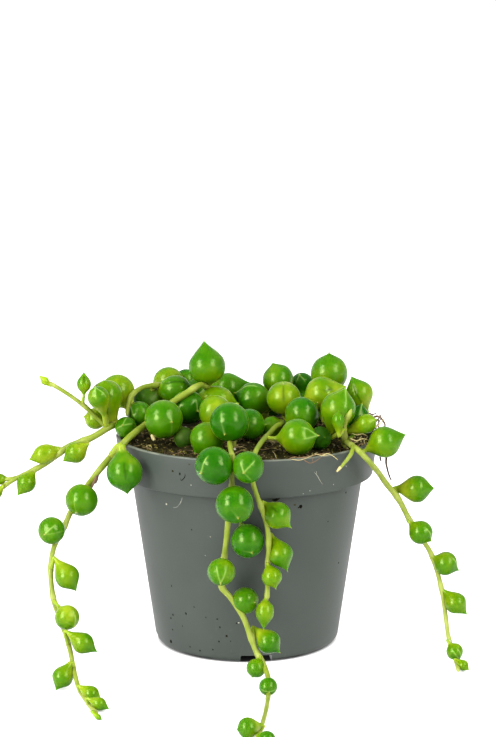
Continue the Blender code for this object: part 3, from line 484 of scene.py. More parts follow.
# Scratches and smears on the pot: half thickness, tone, places as degrees round it and height
POT_SCRATCHES = (
    (0.06, 0.94, (-60.6, 44.8), (-60.0, 44.4), (-58.5, 43.5), (-57.2, 42.5), (-55.6, 41.5)),
    (0.05, 0.92, (-59.6, 44.9), (-58.9, 43.9)),
    (0.12, 0.875, (-122.1, 38.4), (-122.6, 37.7), (-123.4, 36.9), (-125.2, 36.1)),
    (0.1, 0.86, (-124.6, 36.2), (-126.4, 35.6), (-128.8, 35.4)),
    (0.05, 0.95, (-43.5, 44.9), (-41.7, 44.4)),
    (0.1, 0.05, (-116.9, 44.6), (-117.0, 43.8), (-117.8, 43.2), (-119.1, 42.7), (-119.4, 43.3)),
)

# Cream grains on the soil: place and size
PERLITE = (
    (19.0, -17.5, 46.8, 0.24),
)

# Roots and threads with places of their own: half thickness, tone and the places
THREADS = (
    # Knot of dry roots behind the rightmost leaf
    (0.3, 0.45, (27.3, -4.0, 50.9), (28.6, -4.2, 52.3), (29.5, -4.4, 52.8), (30.4, -4.0, 52.3),
     (31.1, -3.6, 51.4), (31.4, -4.0, 50.5), (30.5, -4.4, 50.0), (29.8, -4.0, 50.5), (30.0, -3.6, 51.6)),
    (0.24, 0.2, (26.4, -4.2, 52.6), (27.6, -4.0, 53.4), (28.6, -4.0, 53.1), (29.4, -4.4, 53.6)),
    (0.26, 0.3, (28.2, -3.8, 49.6), (28.9, -4.1, 50.8), (29.6, -4.4, 51.9), (30.5, -4.1, 52.9)),
    (0.16, 0.9, (29.0, -4.4, 50.1), (30.2, -4.2, 51.0), (31.3, -4.0, 52.1), (31.9, -4.2, 51.2)),
    (0.09, 0.6, (29.5, -4.2, 52.6), (30.6, -4.2, 53.2), (31.3, -4.1, 53.7), (32.2, -4.0, 54.9)),
    (0.24, 0.2, (27.4, -4.2, 50.2), (28.4, -4.4, 49.4), (29.3, -4.3, 49.3), (30.4, -4.2, 49.8)),
    (0.18, 0.2, (27.0, -4.0, 51.6), (27.9, -3.8, 52.4), (28.3, -4.3, 51.2), (29.0, -3.9, 50.2),
     (29.9, -4.2, 51.0)),
    (0.2, 0.35, (27.6, -4.3, 49.4), (28.0, -3.9, 50.6), (28.9, -4.2, 51.5), (29.8, -3.9, 52.0),
     (30.2, -4.1, 51.3)),
    (0.16, 0.3, (28.4, -4.0, 52.9), (29.2, -3.8, 52.0), (30.1, -4.2, 51.8), (30.9, -3.9, 52.6)),
    (0.17, 0.15, (27.3, -4.2, 51.2), (28.2, -4.0, 50.0), (29.2, -4.3, 49.9), (29.7, -4.0, 50.8)),
    # Dry stub under a leaf of the left string
    (0.6, 1.0, (-21.0, -11.4, 49.9), (-20.9, -11.8, 49.3), (-20.6, -12.1, 48.8)),
    # Dry tip of the root that hangs over the rim
    (0.37, 0.93, (20.35, -24.75, 45.47), (20.13, -24.9, 45.24), (19.82, -25.1, 44.93), (19.5, -25.3, 44.6)),
    # Threads that hang over the rim
    (0.32, 0.05, (29.6, -15.4, 47.6), (29.9, -15.2, 46.4), (29.6, -15.1, 45.6), (29.8, -15.0, 44.7)),
    (0.3, 0.05, (30.9, -14.3, 47.6), (31.1, -14.2, 46.0), (31.0, -14.1, 44.3), (31.3, -14.0, 42.7),
     (31.7, -14.0, 41.3), (32.2, -14.1, 40.1)),
    # Straw between the two right leaves
    (0.13, 0.9, (22.9, -16.0, 50.0), (24.3, -16.4, 49.6), (25.6, -16.2, 50.0), (27.2, -15.2, 49.4)),
    (0.1, 0.95, (23.4, -14.6, 50.9), (24.4, -15.0, 50.6), (25.6, -15.2, 50.9), (26.8, -14.8, 50.3)),
    (0.1, 0.85, (23.2, -15.0, 48.6), (24.5, -15.6, 49.3), (25.4, -15.4, 50.4)),
    (0.09, 0.9, (26.6, -14.8, 48.2), (26.0, -15.2, 49.2), (26.8, -15.0, 50.2)),
    (0.11, 0.4, (24.3, -16.2, 48.2), (25.6, -15.8, 48.9), (27.0, -15.2, 48.3)),
    # Reddish roots over the front of the rim
    (0.1, 0.5, (8.4, -28.0, 47.6), (9.9, -28.2, 48.4), (11.6, -27.8, 48.2), (12.9, -27.4, 48.1)),
    (0.12, 0.55, (11.0, -27.0, 48.0), (13.2, -27.2, 48.3), (15.3, -26.6, 48.7), (17.2, -25.8, 48.6)),
    (0.1, 0.4, (12.4, -28.2, 47.7), (13.6, -28.6, 47.2), (14.8, -28.3, 47.6), (15.9, -27.6, 48.2)),
    (0.12, 0.9, (16.0, -26.4, 48.3), (17.4, -25.9, 48.7), (18.7, -25.7, 48.1), (19.7, -25.8, 47.3)),
    (0.08, 0.9, (9.6, -28.4, 48.0), (11.2, -28.9, 47.9), (12.8, -28.6, 48.3), (14.4, -27.4, 48.8)),
    (0.09, 0.35, (13.0, -27.6, 48.8), (14.0, -27.9, 48.2), (14.2, -28.4, 47.4)),
    (0.09, 0.8, (14.6, -26.8, 48.9), (16.2, -26.9, 48.5), (17.6, -26.6, 48.4)),
    # Dry scale where the left string bends
    (0.38, 0.3, (-33.1, -18.9, 42.2), (-33.5, -18.9, 41.2), (-33.9, -19.0, 40.3), (-34.4, -18.9, 39.3)),
    (0.3, 0.2, (-32.9, -18.8, 42.4), (-33.0, -19.0, 41.4), (-33.4, -19.0, 40.5)),
)

# Shapes


class Shape:
    """Points, faces and per-point values gathered for one piece; lengths in millimetres."""

    def __init__(self):
        self.points = []
        self.quads = []
        self.tris = []
        self.values = {}
        self.count = 0

    def add(self, points, quads, tris, **values):
        self.points.append(points)
        self.quads += (np.array(quads, int) + self.count).tolist()
        self.tris += (tris + self.count).tolist()
        for name, value in values.items():
            known = self.values.setdefault(name, [])
            known.append(np.broadcast_to(np.asarray(value, float), (len(points),)))
        self.count += len(points)

    def piece(self, name, material, slot, replaced=()):
        mesh = bpy.data.meshes.new(name)
        points = np.concatenate(self.points) * MM
        mesh.from_pydata(points.tolist(), [], self.quads + self.tris)
        mesh.validate()
        for key, parts in self.values.items():
            attribute = mesh.attributes.new(key, "FLOAT", "POINT")
            attribute.data.foreach_set("value", np.concatenate(parts).astype(np.float32))
        mesh.shade_smooth()
        mesh.materials.append(material)
        piece = bpy.data.objects.new(name, mesh)
        bpy.context.scene.collection.objects.link(piece)
        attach(piece, "root")
        if replaced:
            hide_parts(*replaced)


def unit(v):
    return v / np.linalg.norm(v)


def smooth(low, high, x):
    t = np.clip((np.asarray(x, float) - low) / (high - low), 0.0, 1.0)
    return t * t * (3.0 - 2.0 * t)


def hermite(x, start, start_slope, end, end_slope):
    """Smooth curve value between two (place, value) ends with given slopes."""
    span = end[0] - start[0]
    t = np.clip((x - start[0]) / span, 0.0, 1.0)
    t2 = t * t
    t3 = t2 * t
    return (
        (2 * t3 - 3 * t2 + 1) * start[1]
        + (t3 - 2 * t2 + t) * span * start_slope
        + (3 * t2 - 2 * t3) * end[1]
        + (t3 - t2) * span * end_slope
    )


def smooth_route(points, step):
    """Points about one step apart on a smooth curve through the given ones."""
    knots = [np.array(point, float) for point in points]
    knots = [knots[0] * 2.0 - knots[1]] + knots + [knots[-1] * 2.0 - knots[-2]]
    route = []
    for index in range(1, len(knots) - 2):
        before, start, end, after = knots[index - 1:index + 3]
        pieces = max(1, round(float(np.linalg.norm(end - start)) / step))
        for piece in range(pieces):
            t = piece / pieces
            route.append(0.5 * (
                2.0 * start
                + (end - before) * t
                + (2.0 * before - 5.0 * start + 4.0 * end - after) * t * t
                + (3.0 * start - before - 3.0 * end + after) * t * t * t
            ))
    route.append(knots[-2])
    return np.array(route)


def tangents(route):
    ahead = np.empty_like(route)
    ahead[1:-1] = route[2:] - route[:-2]
    ahead[0] = route[1] - route[0]
    ahead[-1] = route[-1] - route[-2]
    return ahead / np.linalg.norm(ahead, axis=1)[:, None]


def frames_along(ahead):
    """Two directions across each ring, carried along without twist."""
    helper = np.array((0.0, 0.0, 1.0)) if abs(ahead[0][2]) < 0.8 else np.array((0.0, 1.0, 0.0))
    current = unit(np.cross(ahead[0], helper))
    across = []
    for way in ahead:
        current = unit(current - way * current.dot(way))
        across.append(current)
    across = np.array(across)
    return across, np.cross(ahead, across)


def ring_angles(sides):
    return np.arange(sides) * TURN / sides


def turn_between(angles, other):
    """The smaller turn between directions round a ring."""
    return np.abs((angles - other + math.pi) % TURN - math.pi)


def ring_faces(rings, sides):
    """Quads from ring to ring, and fans to two end points that come after all rings."""
    index = np.arange(rings * sides).reshape(rings, sides)
    after = np.roll(index, -1, axis=1)
    quads = np.stack([index[:-1], after[:-1], after[1:], index[1:]], axis=-1).reshape(-1, 4)
    end = np.full(sides, rings * sides)
    low = np.stack([end, after[0], index[0]], axis=-1)
    high = np.stack([end + 1, index[-1], after[-1]], axis=-1)
    return quads, np.concatenate([low, high])


def sweep(shape, centres, across, side, angles, radii, **values):
    """A closed skin of rings round a line; radii and values are rings by angles."""
    cosine = np.cos(angles)[None, :, None]
    sine = np.sin(angles)[None, :, None]
    ways = across[:, None, :] * cosine + side[:, None, :] * sine
    points = centres[:, None, :] + ways * radii[..., None]
    points = np.concatenate([points.reshape(-1, 3), centres[:1], centres[-1:]])
    flat = {}
    for name, value in values.items():
        grid = np.broadcast_to(np.asarray(value, float), radii.shape)
        flat[name] = np.concatenate([grid.ravel(), [grid[0].mean(), grid[-1].mean()]])
    quads, fans = ring_faces(*radii.shape)
    shape.add(points, quads, fans, **flat)


def tube(shape, route, radii, sides, tone):
    """A plain closed tube of one tone."""
    across, side = frames_along(tangents(route))
    grid = np.repeat(np.asarray(radii, float)[:, None], sides, axis=1)
    sweep(shape, route, across, side, ring_angles(sides), grid, tone=tone)


# Leaves and stems


def soil_height(x, y):
    """Mounded, slightly uneven top of the soil."""
    edge = RIM_RADIUS - WALL
    mound = SOIL_MOUND * max(0.0, 1.0 - (x * x + y * y) / (edge * edge))
    uneven = math.sin(0.55 * x + 1.3) * math.cos(0.47 * y - 0.4) + 0.5 * math.sin(0.9 * (x + y))
    return SOIL_EDGE_Z + mound + SOIL_ROUGHNESS * uneven


def leaf_angles(marks):
    """Angles round a leaf, closer together beside each mark."""
    angles = list(ring_angles(LEAF_SIDES))
    for mark in marks:
        centre = math.radians(mark[1]) % TURN
        angles = [angle for angle in angles if turn_between(angle, centre) > 0.1]
        for gap in MARK_GAPS:
            angles.append((centre - gap) % TURN)
            angles.append((centre + gap) % TURN)
    kept = []
    for angle in sorted(angles):
        if not kept or angle - kept[-1] > 0.008:
            kept.append(angle)
    return np.array(kept)


def leaf_profile(u, start, neck, leaf, flare):
    """Width of a leaf at places along it, both as shares of its radius."""
    end_width = 0.03
    low = -0.66 + 0.34 * min(1.0, flare)
    high = float(np.clip(0.8 - 1.4 * (leaf.reach - 1.0), 0.3, 0.8))
    round_width = np.sqrt(np.clip(1.0 - u * u, 0.0, 1.0))
    low_width = math.sqrt(1.0 - low * low)
    high_width = math.sqrt(1.0 - high * high)
    start_slope = 0.1 + max(0.0, flare - 1.0)
    end_slope = -leaf.straight * (high_width - end_width) / (leaf.reach - high)
    base = hermite(u, (start, neck), start_slope, (low, low_width), -low / low_width)
    tip = hermite(u, (high, high_width), -high / high_width, (leaf.reach, end_width), end_slope)
    return np.where(u < low, base, np.where(u > high, tip, round_width))


def stalk_root(routes, base, tip_way):
    """The stem point that a stalk reaches when it runs straight back from its leaf."""
    best = None
    for number, route in enumerate(routes):
        away = route - base
        back = -(away @ tip_way)
        aside = np.linalg.norm(away + back[:, None] * tip_way, axis=1)
        cost = aside + 0.45 * np.clip(back, 0.0, None) + 2.5 * np.clip(0.4 - back, 0.0, None)
        index = int(cost.argmin())
        if best is None or cost[index] < best[2]:
            best = (number, index, float(cost[index]))
    return best[0], best[1]


def stalk_curve(root, stem_way, funnel, tip_way):
    """Points from inside the stem to the leaf's foot, which they leave out, and their shares."""
    span = float(np.linalg.norm(funnel - root))
    leave = unit(unit(funnel - root + 1e-9) + 0.7 * stem_way)
    bow = 0.36 * span
    count = max(4, int(span / 0.4) + 1)
    t = (np.arange(count) / count)[:, None]
    curve = (
        root * (1 - t) ** 3
        + (root + leave * bow) * 3 * t * (1 - t) ** 2
        + (funnel - tip_way * bow) * 3 * t * t * (1 - t)
        + funnel * t ** 3
    )
    return curve, t[:, 0]


def leaf_body(leaf, start, neck, flare, middle, ways, rng):
    """Places, centres and widths of the rings from a leaf's foot to the dry point of its tip."""
    tip_way, across, side = ways
    radius = leaf.radius
    u = np.concatenate([
        np.linspace(start, -0.5, 12),
        np.linspace(-0.4, 0.3, 8),
        0.3 + (leaf.reach - 0.3) * (1.0 - (1.0 - np.linspace(0.06, 1.0, 16)) ** 1.35),
    ])
    width = leaf_profile(u, start, neck, leaf, flare) * radius
    bend = rng.uniform(-0.04, 0.04) * radius, rng.uniform(-0.04, 0.04) * radius
    lean = np.clip(u, 0.0, None) ** 2
    centres = (
        middle
        + tip_way * (radius * leaf.stretch * u)[:, None]
        + across * (bend[0] * lean)[:, None]
        + side * (bend[1] * lean)[:, None]
    )
    point = np.array((0.1, 0.25, 0.4)) * math.sqrt(radius / LARGE_LEAF_RADIUS)
    last_way = unit(centres[-1] - centres[-3])
    return (
        np.concatenate([u, leaf.reach + point / radius]),
        np.concatenate([centres, centres[-1] + last_way * point[:, None]]),
        np.concatenate([width, radius * np.array((0.018, 0.012, 0.004))]),
    )


def add_leaf(shape, leaf, routes, ways, widths_of, rng):
    """A round pointed leaf and its stalk, as one skin that starts inside the stem."""
    radius = leaf.radius
    reach = leaf.reach
    ripe = max(leaf.ripe, 0.1)
    middle = np.array(leaf.middle, float)
    tip_way = unit(np.array(leaf.tip, float))
    base = middle - tip_way * radius * leaf.stretch
    number, index = stalk_root(routes, base, tip_way)
    root = routes[number][index]
    room = float(np.linalg.norm(base - root)) / (radius * leaf.stretch)
    flare = min(leaf.flare, max(0.1, 0.8 * room))
    start = -1.0 - flare
    neck = (LEAF_NECK + LEAF_NECK_GROWTH * radius) * leaf.stout / radius
    reference = np.array((0.0, -1.0, 0.0)) if abs(tip_way[1]) < 0.9 else np.array((0.0, 0.0, 1.0))
    body_across = unit(reference - tip_way * reference.dot(tip_way))
    body_side = np.cross(tip_way, body_across)
    angles = leaf_angles(leaf.marks)

    funnel = middle + tip_way * radius * leaf.stretch * start
    stalk, share = stalk_curve(root, ways[number][index], funnel, tip_way)
    foot = max(neck * radius, min(0.92 * widths_of[number][index], neck * radius * 1.6))
    stalk_widths = neck * radius + (foot - neck * radius) * (1.0 - smooth(0.0, 0.9, share))
    body_ways = (tip_way, body_across, body_side)
    u, centres, width = leaf_body(leaf, start, neck, flare, middle, body_ways, rng)

    count = len(stalk)
    centres = np.concatenate([stalk, centres])
    u = np.concatenate([np.linspace(start - 1.0, start - 0.05, count), u])[:, None]
    ahead = tangents(centres)
    across = np.empty_like(ahead)
    side = np.empty_like(ahead)
    across[count:] = body_across
    side[count:] = body_side
    current = body_across
    for ring in range(count - 1, -1, -1):
        current = unit(current - ahead[ring] * current.dot(ahead[ring]))
        across[ring] = current
        side[ring] = np.cross(ahead[ring], current)
    widths = np.concatenate([stalk_widths, width])[:, None]
    grid = np.repeat(widths, len(angles), axis=1)

    # Corners that run up to the point, and a slight unevenness
    corners = [math.radians(mark[1]) for mark in leaf.marks if mark[0] == "ridge"]
    firm = 0.02 + 0.03 * min(3, len(corners))
    while len(corners) < 3:
        corners.append(rng.uniform(0.0, TURN))
    gaps = np.min([turn_between(angles, corner) for corner in corners], axis=0)
    facet = 0.5 - 0.5 * np.cos(np.clip(gaps / 1.05, 0.0, 1.0) * math.pi)
    fade = smooth(0.1, 0.9, u) * (1.0 - smooth(reach - 0.1, reach, u))
    grid = grid * (1.0 - firm * fade * facet[None, :])
    a, b, c = (rng.uniform(0.0, TURN) for _ in range(3))
    uneven = 0.012 * np.sin(2 * angles + a)[None, :] * np.cos(1.7 * u + b)
    uneven = uneven + 0.006 * np.sin(3 * angles + c)[None, :]
    grid = grid * (1.0 + uneven * smooth(start, start + 0.3, u))

    colours = {"ridge": np.zeros_like(grid), "slit": np.zeros_like(grid)}
    fine = math.sqrt(radius / LARGE_LEAF_RADIUS)
    for kind, degrees, low, *end in leaf.marks:
        high = end[0] if end else RIDGE_END
        strength, colour_width, lift, relief_width = MARKS[kind]
        gap = turn_between(angles, math.radians(degrees))[None, :] * widths
        along = smooth(low - 0.15, low + 0.15, u) * (1.0 - smooth(high - 0.1, high + 0.1, u))
        stroke = strength * along * np.exp(-(gap / (colour_width * fine)) ** 2)
        key = "slit" if kind == "slit" else "ridge"
        colours[key] = np.maximum(colours[key], stroke)
        grid = grid + lift * fine * along * np.exp(-(gap / (relief_width * fine)) ** 2)

    lime = 1.0 - smooth(-1.2, 0.45, u)
    tint = ripe + (1.0 - ripe) * lime * (0.3 + 0.65 * min(1.0, flare * 1.1))
    tint = np.where(u < start, 1.0, tint)
    # dim carries the painted shade of leaves whose ripe is below 0
    sweep(
        shape, centres, across, side, angles, grid, **colours,
        tint=np.clip(tint, 0.0, 1.0), dry=smooth(reach - 0.04, reach + 0.03, u),
        dim=max(0.0, -leaf.ripe), shade=rng.uniform(-1.0, 1.0),
        stalk=1.0 - smooth(start - 0.1, start + 0.3, u),
    )
    return number, index


def stem_widths(route, thick):
    """How far a route has run at each point, also as a share, and its radius there."""
    steps = np.linalg.norm(np.diff(route, axis=0), axis=1)
    length = np.concatenate([[0.0], np.cumsum(steps)])
    share = length / length[-1]
    return length, share, np.interp(share, np.linspace(0.0, 1.0, len(thick)), thick)


def add_stem(shape, route, line, joints, rng):
    """A stem that swells a little where its leaves leave it and ends in a small point."""
    length, share, radii = stem_widths(route, line.thick)
    swell = np.zeros(len(route))
    for joint in joints:
        place = length[joint] - 0.3
        swell = np.maximum(swell, np.exp(-((length - place) / 1.0) ** 2))
    phase = rng.uniform(0.0, 6.0)
    radii = radii * (1.0 + 0.2 * swell + 0.03 * np.sin(length * 0.9 + phase))
    radii = radii * np.sqrt(np.clip((length[-1] - length) / (2.2 * line.thick[-1]) + 0.02, 0.0, 1.0))
    across, side = frames_along(tangents(route))
    angles = ring_angles(STEM_SIDES)
    ribs = 1.0 + 0.035 * np.cos(5.0 * angles + phase)[None, :]
    sweep(
        shape, route, across, side, angles, radii[:, None] * ribs,
        along=share[:, None], node=swell[:, None], fresh=line.fresh,
    )


def add_plant(name, stem, leaf_material, stem_material):
    """One stem with its shoots, and its leaves; the stem starts down in the soil."""
    rng = random.Random(name)
    x, y, _ = stem.lines[0].points[0]
    root = (x, y, soil_height(x, y) - ROOT_DEPTH)
    collar = (x, y, soil_height(x, y) + 0.3)
    points = [line.points for line in stem.lines]
    points[0] = (root, collar, *points[0][1:])
    routes = [smooth_route(places, ROUTE_STEP) for places in points]
    ways = [tangents(route) for route in routes]
    widths = [stem_widths(route, line.thick)[2] for route, line in zip(routes, stem.lines)]
    leaves = Shape()
    stalks = Shape()
    joints = [[] for _ in routes]
    for leaf in stem.leaves:
        number, place = add_leaf(leaves, leaf, routes, ways, widths, rng)
        joints[number].append(place)
    for route, line, places in zip(routes, stem.lines, joints):
        add_stem(stalks, route, line, places, rng)
    short = name.removeprefix("stem_")
    leaves.piece("leaves_" + short, leaf_material, "leaf", (name,))
    stalks.piece("stalk_" + short, stem_material, "stem", (name,))


# Materials


class Graph:
    """A short way to write the nodes of a material or of the world."""

    def __init__(self, owner, end="Principled BSDF"):
        owner.use_nodes = True
        self.owner = owner
        self.tree = owner.node_tree
        self.end = self.tree.nodes[end]

    def add(self, kind, settings=(), **inputs):
        node = self.tree.nodes.new("ShaderNode" + kind)
        for key, value in dict(settings).items():
            setattr(node, key, value)
        for key, value in inputs.items():
            self.put(node.inputs[key.replace("_", " ")], value)
        return node

    def put(self, socket, value):
        if isinstance(value, bpy.types.NodeSocket):
            self.tree.links.new(value, socket)
        else:
            socket.default_value = value

    def value(self, attribute):
        return self.add("Attribute", {"attribute_name": attribute}).outputs["Fac"]

    def places(self, kind="Object"):
        return self.add("TexCoord").outputs[kind]

    def noise(self, scale, detail=3.0, rough=0.55):
        made = self.add("TexNoise", Vector=self.places(), Scale=scale, Detail=detail, Roughness=rough)
        return made.outputs["Fac"]

    def maths(self, operation, first, second, clamp=False):
        node = self.add("Math", {"operation": operation, "use_clamp": clamp})
        self.put(node.inputs[0], first)
        self.put(node.inputs[1], second)
        return node.outputs[0]

    def span(self, value, low, high, to_low=0.0, to_high=1.0):
        """A value mapped from one range to another, and held at its ends."""
        node = self.add("MapRange", Value=value, From_Min=low, From_Max=high, To_Min=to_low, To_Max=to_high)
        return node.outputs["Result"]

    def ramp(self, value, stops):
        node = self.add("ValToRGB", Fac=value)
        elements = node.color_ramp.elements
        while len(elements) < len(stops):
            elements.new(0.5)
        for element, (place, colour) in zip(elements, stops):
            element.position = place
            element.color = (*colour, 1.0)
        return node.outputs["Color"]

    def mix(self, share, first, second, kind="RGBA"):
        node = self.add("Mix", {"data_type": kind})
        for key, value in (("Factor", share), ("A", first), ("B", second)):
            socket = [s for s in node.inputs if s.name == key and s.enabled][0]
            self.put(socket, (*value, 1.0) if isinstance(value, tuple) else value)
        return [s for s in node.outputs if s.enabled][0]

    def bump(self, height, distance, strength, **under):
        node = self.add("Bump", Height=height, Distance=distance, Strength=strength, **under)
        return node.outputs["Normal"]

    def finish(self, **inputs):
        for key, value in inputs.items():
            self.put(self.end.inputs[key.replace("_", " ")], value)
        return self.owner


def leaf_skin():
    """Waxy green flesh: riper leaves are yellower, leaves set in shade get painted shade, and the rims of
    all carry a painted pale sheen and are duller.
    """
    g = Graph(bpy.data.materials.new("leaf_skin"))
    patch = g.noise(190.0, 2.5)
    grain = g.noise(2600.0, 2.0)
    tint = g.maths("ADD", g.value("tint"), g.span(patch, 0.3, 0.7, -0.17, 0.17))
    tint = g.maths("ADD", tint, g.maths("MULTIPLY", g.value("shade"), 0.05), clamp=True)
    colour = g.ramp(tint, (
        (0.0, (0.004, 0.053, 0.0001)),
        (0.3, (0.0092, 0.073, 0.0001)),
        (0.6, (0.031, 0.104, 0.0001)),
        (0.82, (0.0784, 0.1408, 0.0003)),
        (1.0, (0.16, 0.2096, 0.0064)),
    ))
    # Painted shade: leaves set in shade, with dim above 0, are mixed towards dark olive and made duller
    dark = g.maths("MULTIPLY", g.value("dim"), 0.9)
    # Painted sheen: rims turned away from view are mixed pale, standing in for reflection and light through
    # the rim
    edge = g.maths("POWER", g.add("LayerWeight", Blend=0.5).outputs["Facing"], 9.0)
    for share, over in (
        (g.span(grain, 0.5, 0.8, 0.0, 0.12), (0.05, 0.14, 0.002)),
        (g.maths("MULTIPLY", g.value("ridge"), 0.5), (0.17, 0.27, 0.05)),
        (g.maths("MULTIPLY", g.value("slit"), 0.65), (0.006, 0.034, 0.001)),
        (g.value("stalk"), (0.155, 0.195, 0.016)),
        (g.value("dry"), (0.16, 0.16, 0.03)),
        (dark, (0.012, 0.022, 0.0005)),
        (g.maths("MULTIPLY", edge, 0.6), (0.2, 0.31, 0.008)),
    ):
        colour = g.mix(share, colour, over)
    rough = g.span(patch, 0.3, 0.7, 0.19, 0.27)
    for what, much in ((edge, 0.3), (dark, 0.5), (g.value("ridge"), 0.1)):
        rough = g.maths("ADD", rough, g.maths("MULTIPLY", what, much))
    return g.finish(
        Base_Color=colour, Roughness=rough, Normal=g.bump(g.noise(1500.0), 0.00006, 0.3), IOR=1.4,
        Specular_Tint=(0.84, 1.0, 0.4, 1.0), Subsurface_Weight=0.5,
        Subsurface_Radius=(0.4, 1.0, 0.06), Subsurface_Scale=0.0025,
    )


def stem_skin():
    """Pale green stem, paler towards its end and where leaves leave it."""
    g = Graph(bpy.data.materials.new("stem_skin"))
    patch = g.noise(420.0)
    tint = g.maths("ADD", g.maths("MULTIPLY", g.value("along"), 0.3), g.span(patch, 0.3, 0.7, 0.2, 0.6))
    tint = g.maths("ADD", tint, g.maths("MULTIPLY", g.value("node"), 0.25))
    tint = g.maths("ADD", tint, g.value("fresh"), clamp=True)
    colour = g.ramp(tint, (
        (0.0, (0.07, 0.118, 0.004)),
        (0.5, (0.12, 0.158, 0.012)),
        (1.0, (0.2, 0.23, 0.044)),
    ))
    fleck = g.span(g.noise(2200.0, 2.0), 0.64, 0.78, 0.0, 0.22)
    return g.finish(
        Base_Color=g.mix(fleck, colour, (0.11, 0.1, 0.02)), Roughness=g.span(patch, 0.3, 0.7, 0.36, 0.48),
        Normal=g.bump(g.noise(900.0), 0.0001, 0.25), IOR=1.38, Specular_Tint=(0.95, 1.0, 0.6, 1.0),
        Subsurface_Weight=0.3, Subsurface_Radius=(0.8, 1.0, 0.2), Subsurface_Scale=0.0008,
    )


def pot_plastic():
    """Matt grey plastic with dust, a lip painted pale for wear and a highlight, and a dark line at the foot
    painted for soil and contact shadow.
    """
    g = Graph(bpy.data.materials.new("pot_plastic"))
    cloud = g.noise(60.0, 4.0)
    colour = g.mix(g.span(cloud, 0.3, 0.7), (0.025, 0.0318, 0.0258), (0.0305, 0.0375, 0.031))
    dust = g.span(g.noise(700.0, 5.0, 0.7), 0.62, 0.8, 0.0, 0.22)
    colour = g.mix(dust, colour, (0.08, 0.086, 0.074))
    height = g.add("SeparateXYZ", Vector=g.places()).outputs["Z"]
    # Painted highlight along the lip's top, mixed with wear
    lip_wear_and_sheen = g.span(g.noise(260.0, 4.0), 0.32, 0.62, 0.3, 1.0)
    lip_wear_and_sheen = g.maths("MULTIPLY", g.span(height, *LIP_WEAR_AND_SHEEN), lip_wear_and_sheen)
    colour = g.mix(lip_wear_and_sheen, colour, (0.108, 0.116, 0.088))
    # Painted contact shadow along the foot, mixed with soil; the shine there is damped too
    foot_soil_and_shade = g.span(g.noise(110.0), 0.36, 0.56, 0.2, 1.0)
    foot_soil_and_shade = g.maths("MULTIPLY", g.span(height, *FOOT_SOIL_AND_SHADE), foot_soil_and_shade)
    colour = g.mix(foot_soil_and_shade, colour, (0.003, 0.003, 0.0024))
    fine = g.bump(g.noise(5200.0, 2.0), 0.00003, 0.35)
    return g.finish(
        Base_Color=colour, Roughness=g.span(cloud, 0.25, 0.75, 0.42, 0.52),
        Normal=g.bump(g.noise(45.0, 2.0), 0.0004, 0.25, Normal=fine),
        Specular_IOR_Level=g.span(foot_soil_and_shade, 0.0, 1.0, 0.34, 0.03),
    )


def scuff_chalk():
    """Pale chalk of scuffs and grains; the lower tones are faint."""
    g = Graph(bpy.data.materials.new("scuff_chalk"))
    grain = g.noise(3000.0)
    pale = g.mix(g.span(grain, 0.35, 0.65), (0.24, 0.24, 0.17), (0.38, 0.37, 0.28))
    colour = g.mix(g.span(g.value("tone"), 0.85, 1.0), (0.085, 0.09, 0.08), pale)
    return g.finish(Base_Color=colour, Roughness=0.7, Normal=g.bump(grain, 0.00005, 0.5))


def earthy(name, patch, patchy, grain, relief, stops, **others):
    """Soil and roots: each grain or thread has a tone of its own, with patches over it."""
    g = Graph(bpy.data.materials.new(name))
    patches = g.span(g.noise(*patch), 0.3, 0.7, -patchy, patchy)
    colour = g.ramp(g.maths("ADD", g.value("tone"), patches, clamp=True), stops)
    return g.finish(Base_Color=colour, Normal=g.bump(g.noise(*grain), *relief), **others)


def soil_peat():
    return earthy("soil_peat", (900.0, 4.0, 0.65), 0.12, (3200.0, 4.0, 0.7), (0.00025, 0.8), (
        (0.0, (0.003, 0.0027, 0.0006)),
        (0.4, (0.016, 0.0145, 0.003)),
        (0.6, (0.044, 0.0395, 0.007)),
        (0.82, (0.12, 0.1, 0.02)),
        (1.0, (0.28, 0.24, 0.1)),
    ), Roughness=0.9, Specular_IOR_Level=0.06)


def root_bark():
    return earthy("root_bark", (1600.0,), 0.15, (4000.0, 2.0), (0.00008, 0.6), (
        (0.0, (0.026, 0.013, 0.005)),
        (0.5, (0.115, 0.058, 0.022)),
        (1.0, (0.33, 0.285, 0.11)),
    ), Roughness=0.75)


# Pot


def arc(centre, radius, start, end, steps):
    """Points of a round corner, angles in degrees."""
    points = []
    for step in range(steps + 1):
        turn = math.radians(start + (end - start) * step / steps)
        points.append((centre[0] + radius * math.cos(turn), centre[1] + radius * math.sin(turn)))
    return points


def turned(name, profile, sides):
    """A closed solid of revolution; the profile starts and ends on the axis."""
    angles = ring_angles(sides)
    rings = np.array(profile[1:-1])
    points = np.stack([
        rings[:, 0:1] * np.cos(angles), rings[:, 0:1] * np.sin(angles),
        np.repeat(rings[:, 1:2], sides, axis=1),
    ], axis=-1).reshape(-1, 3)
    points = np.concatenate([points, [(0, 0, profile[0][1]), (0, 0, profile[-1][1])]])
    quads, fans = ring_faces(len(rings), sides)
    mesh = bpy.data.meshes.new(name)
    mesh.from_pydata((points * MM).tolist(), [], quads.tolist() + fans.tolist())
    mesh.update()
    return mesh


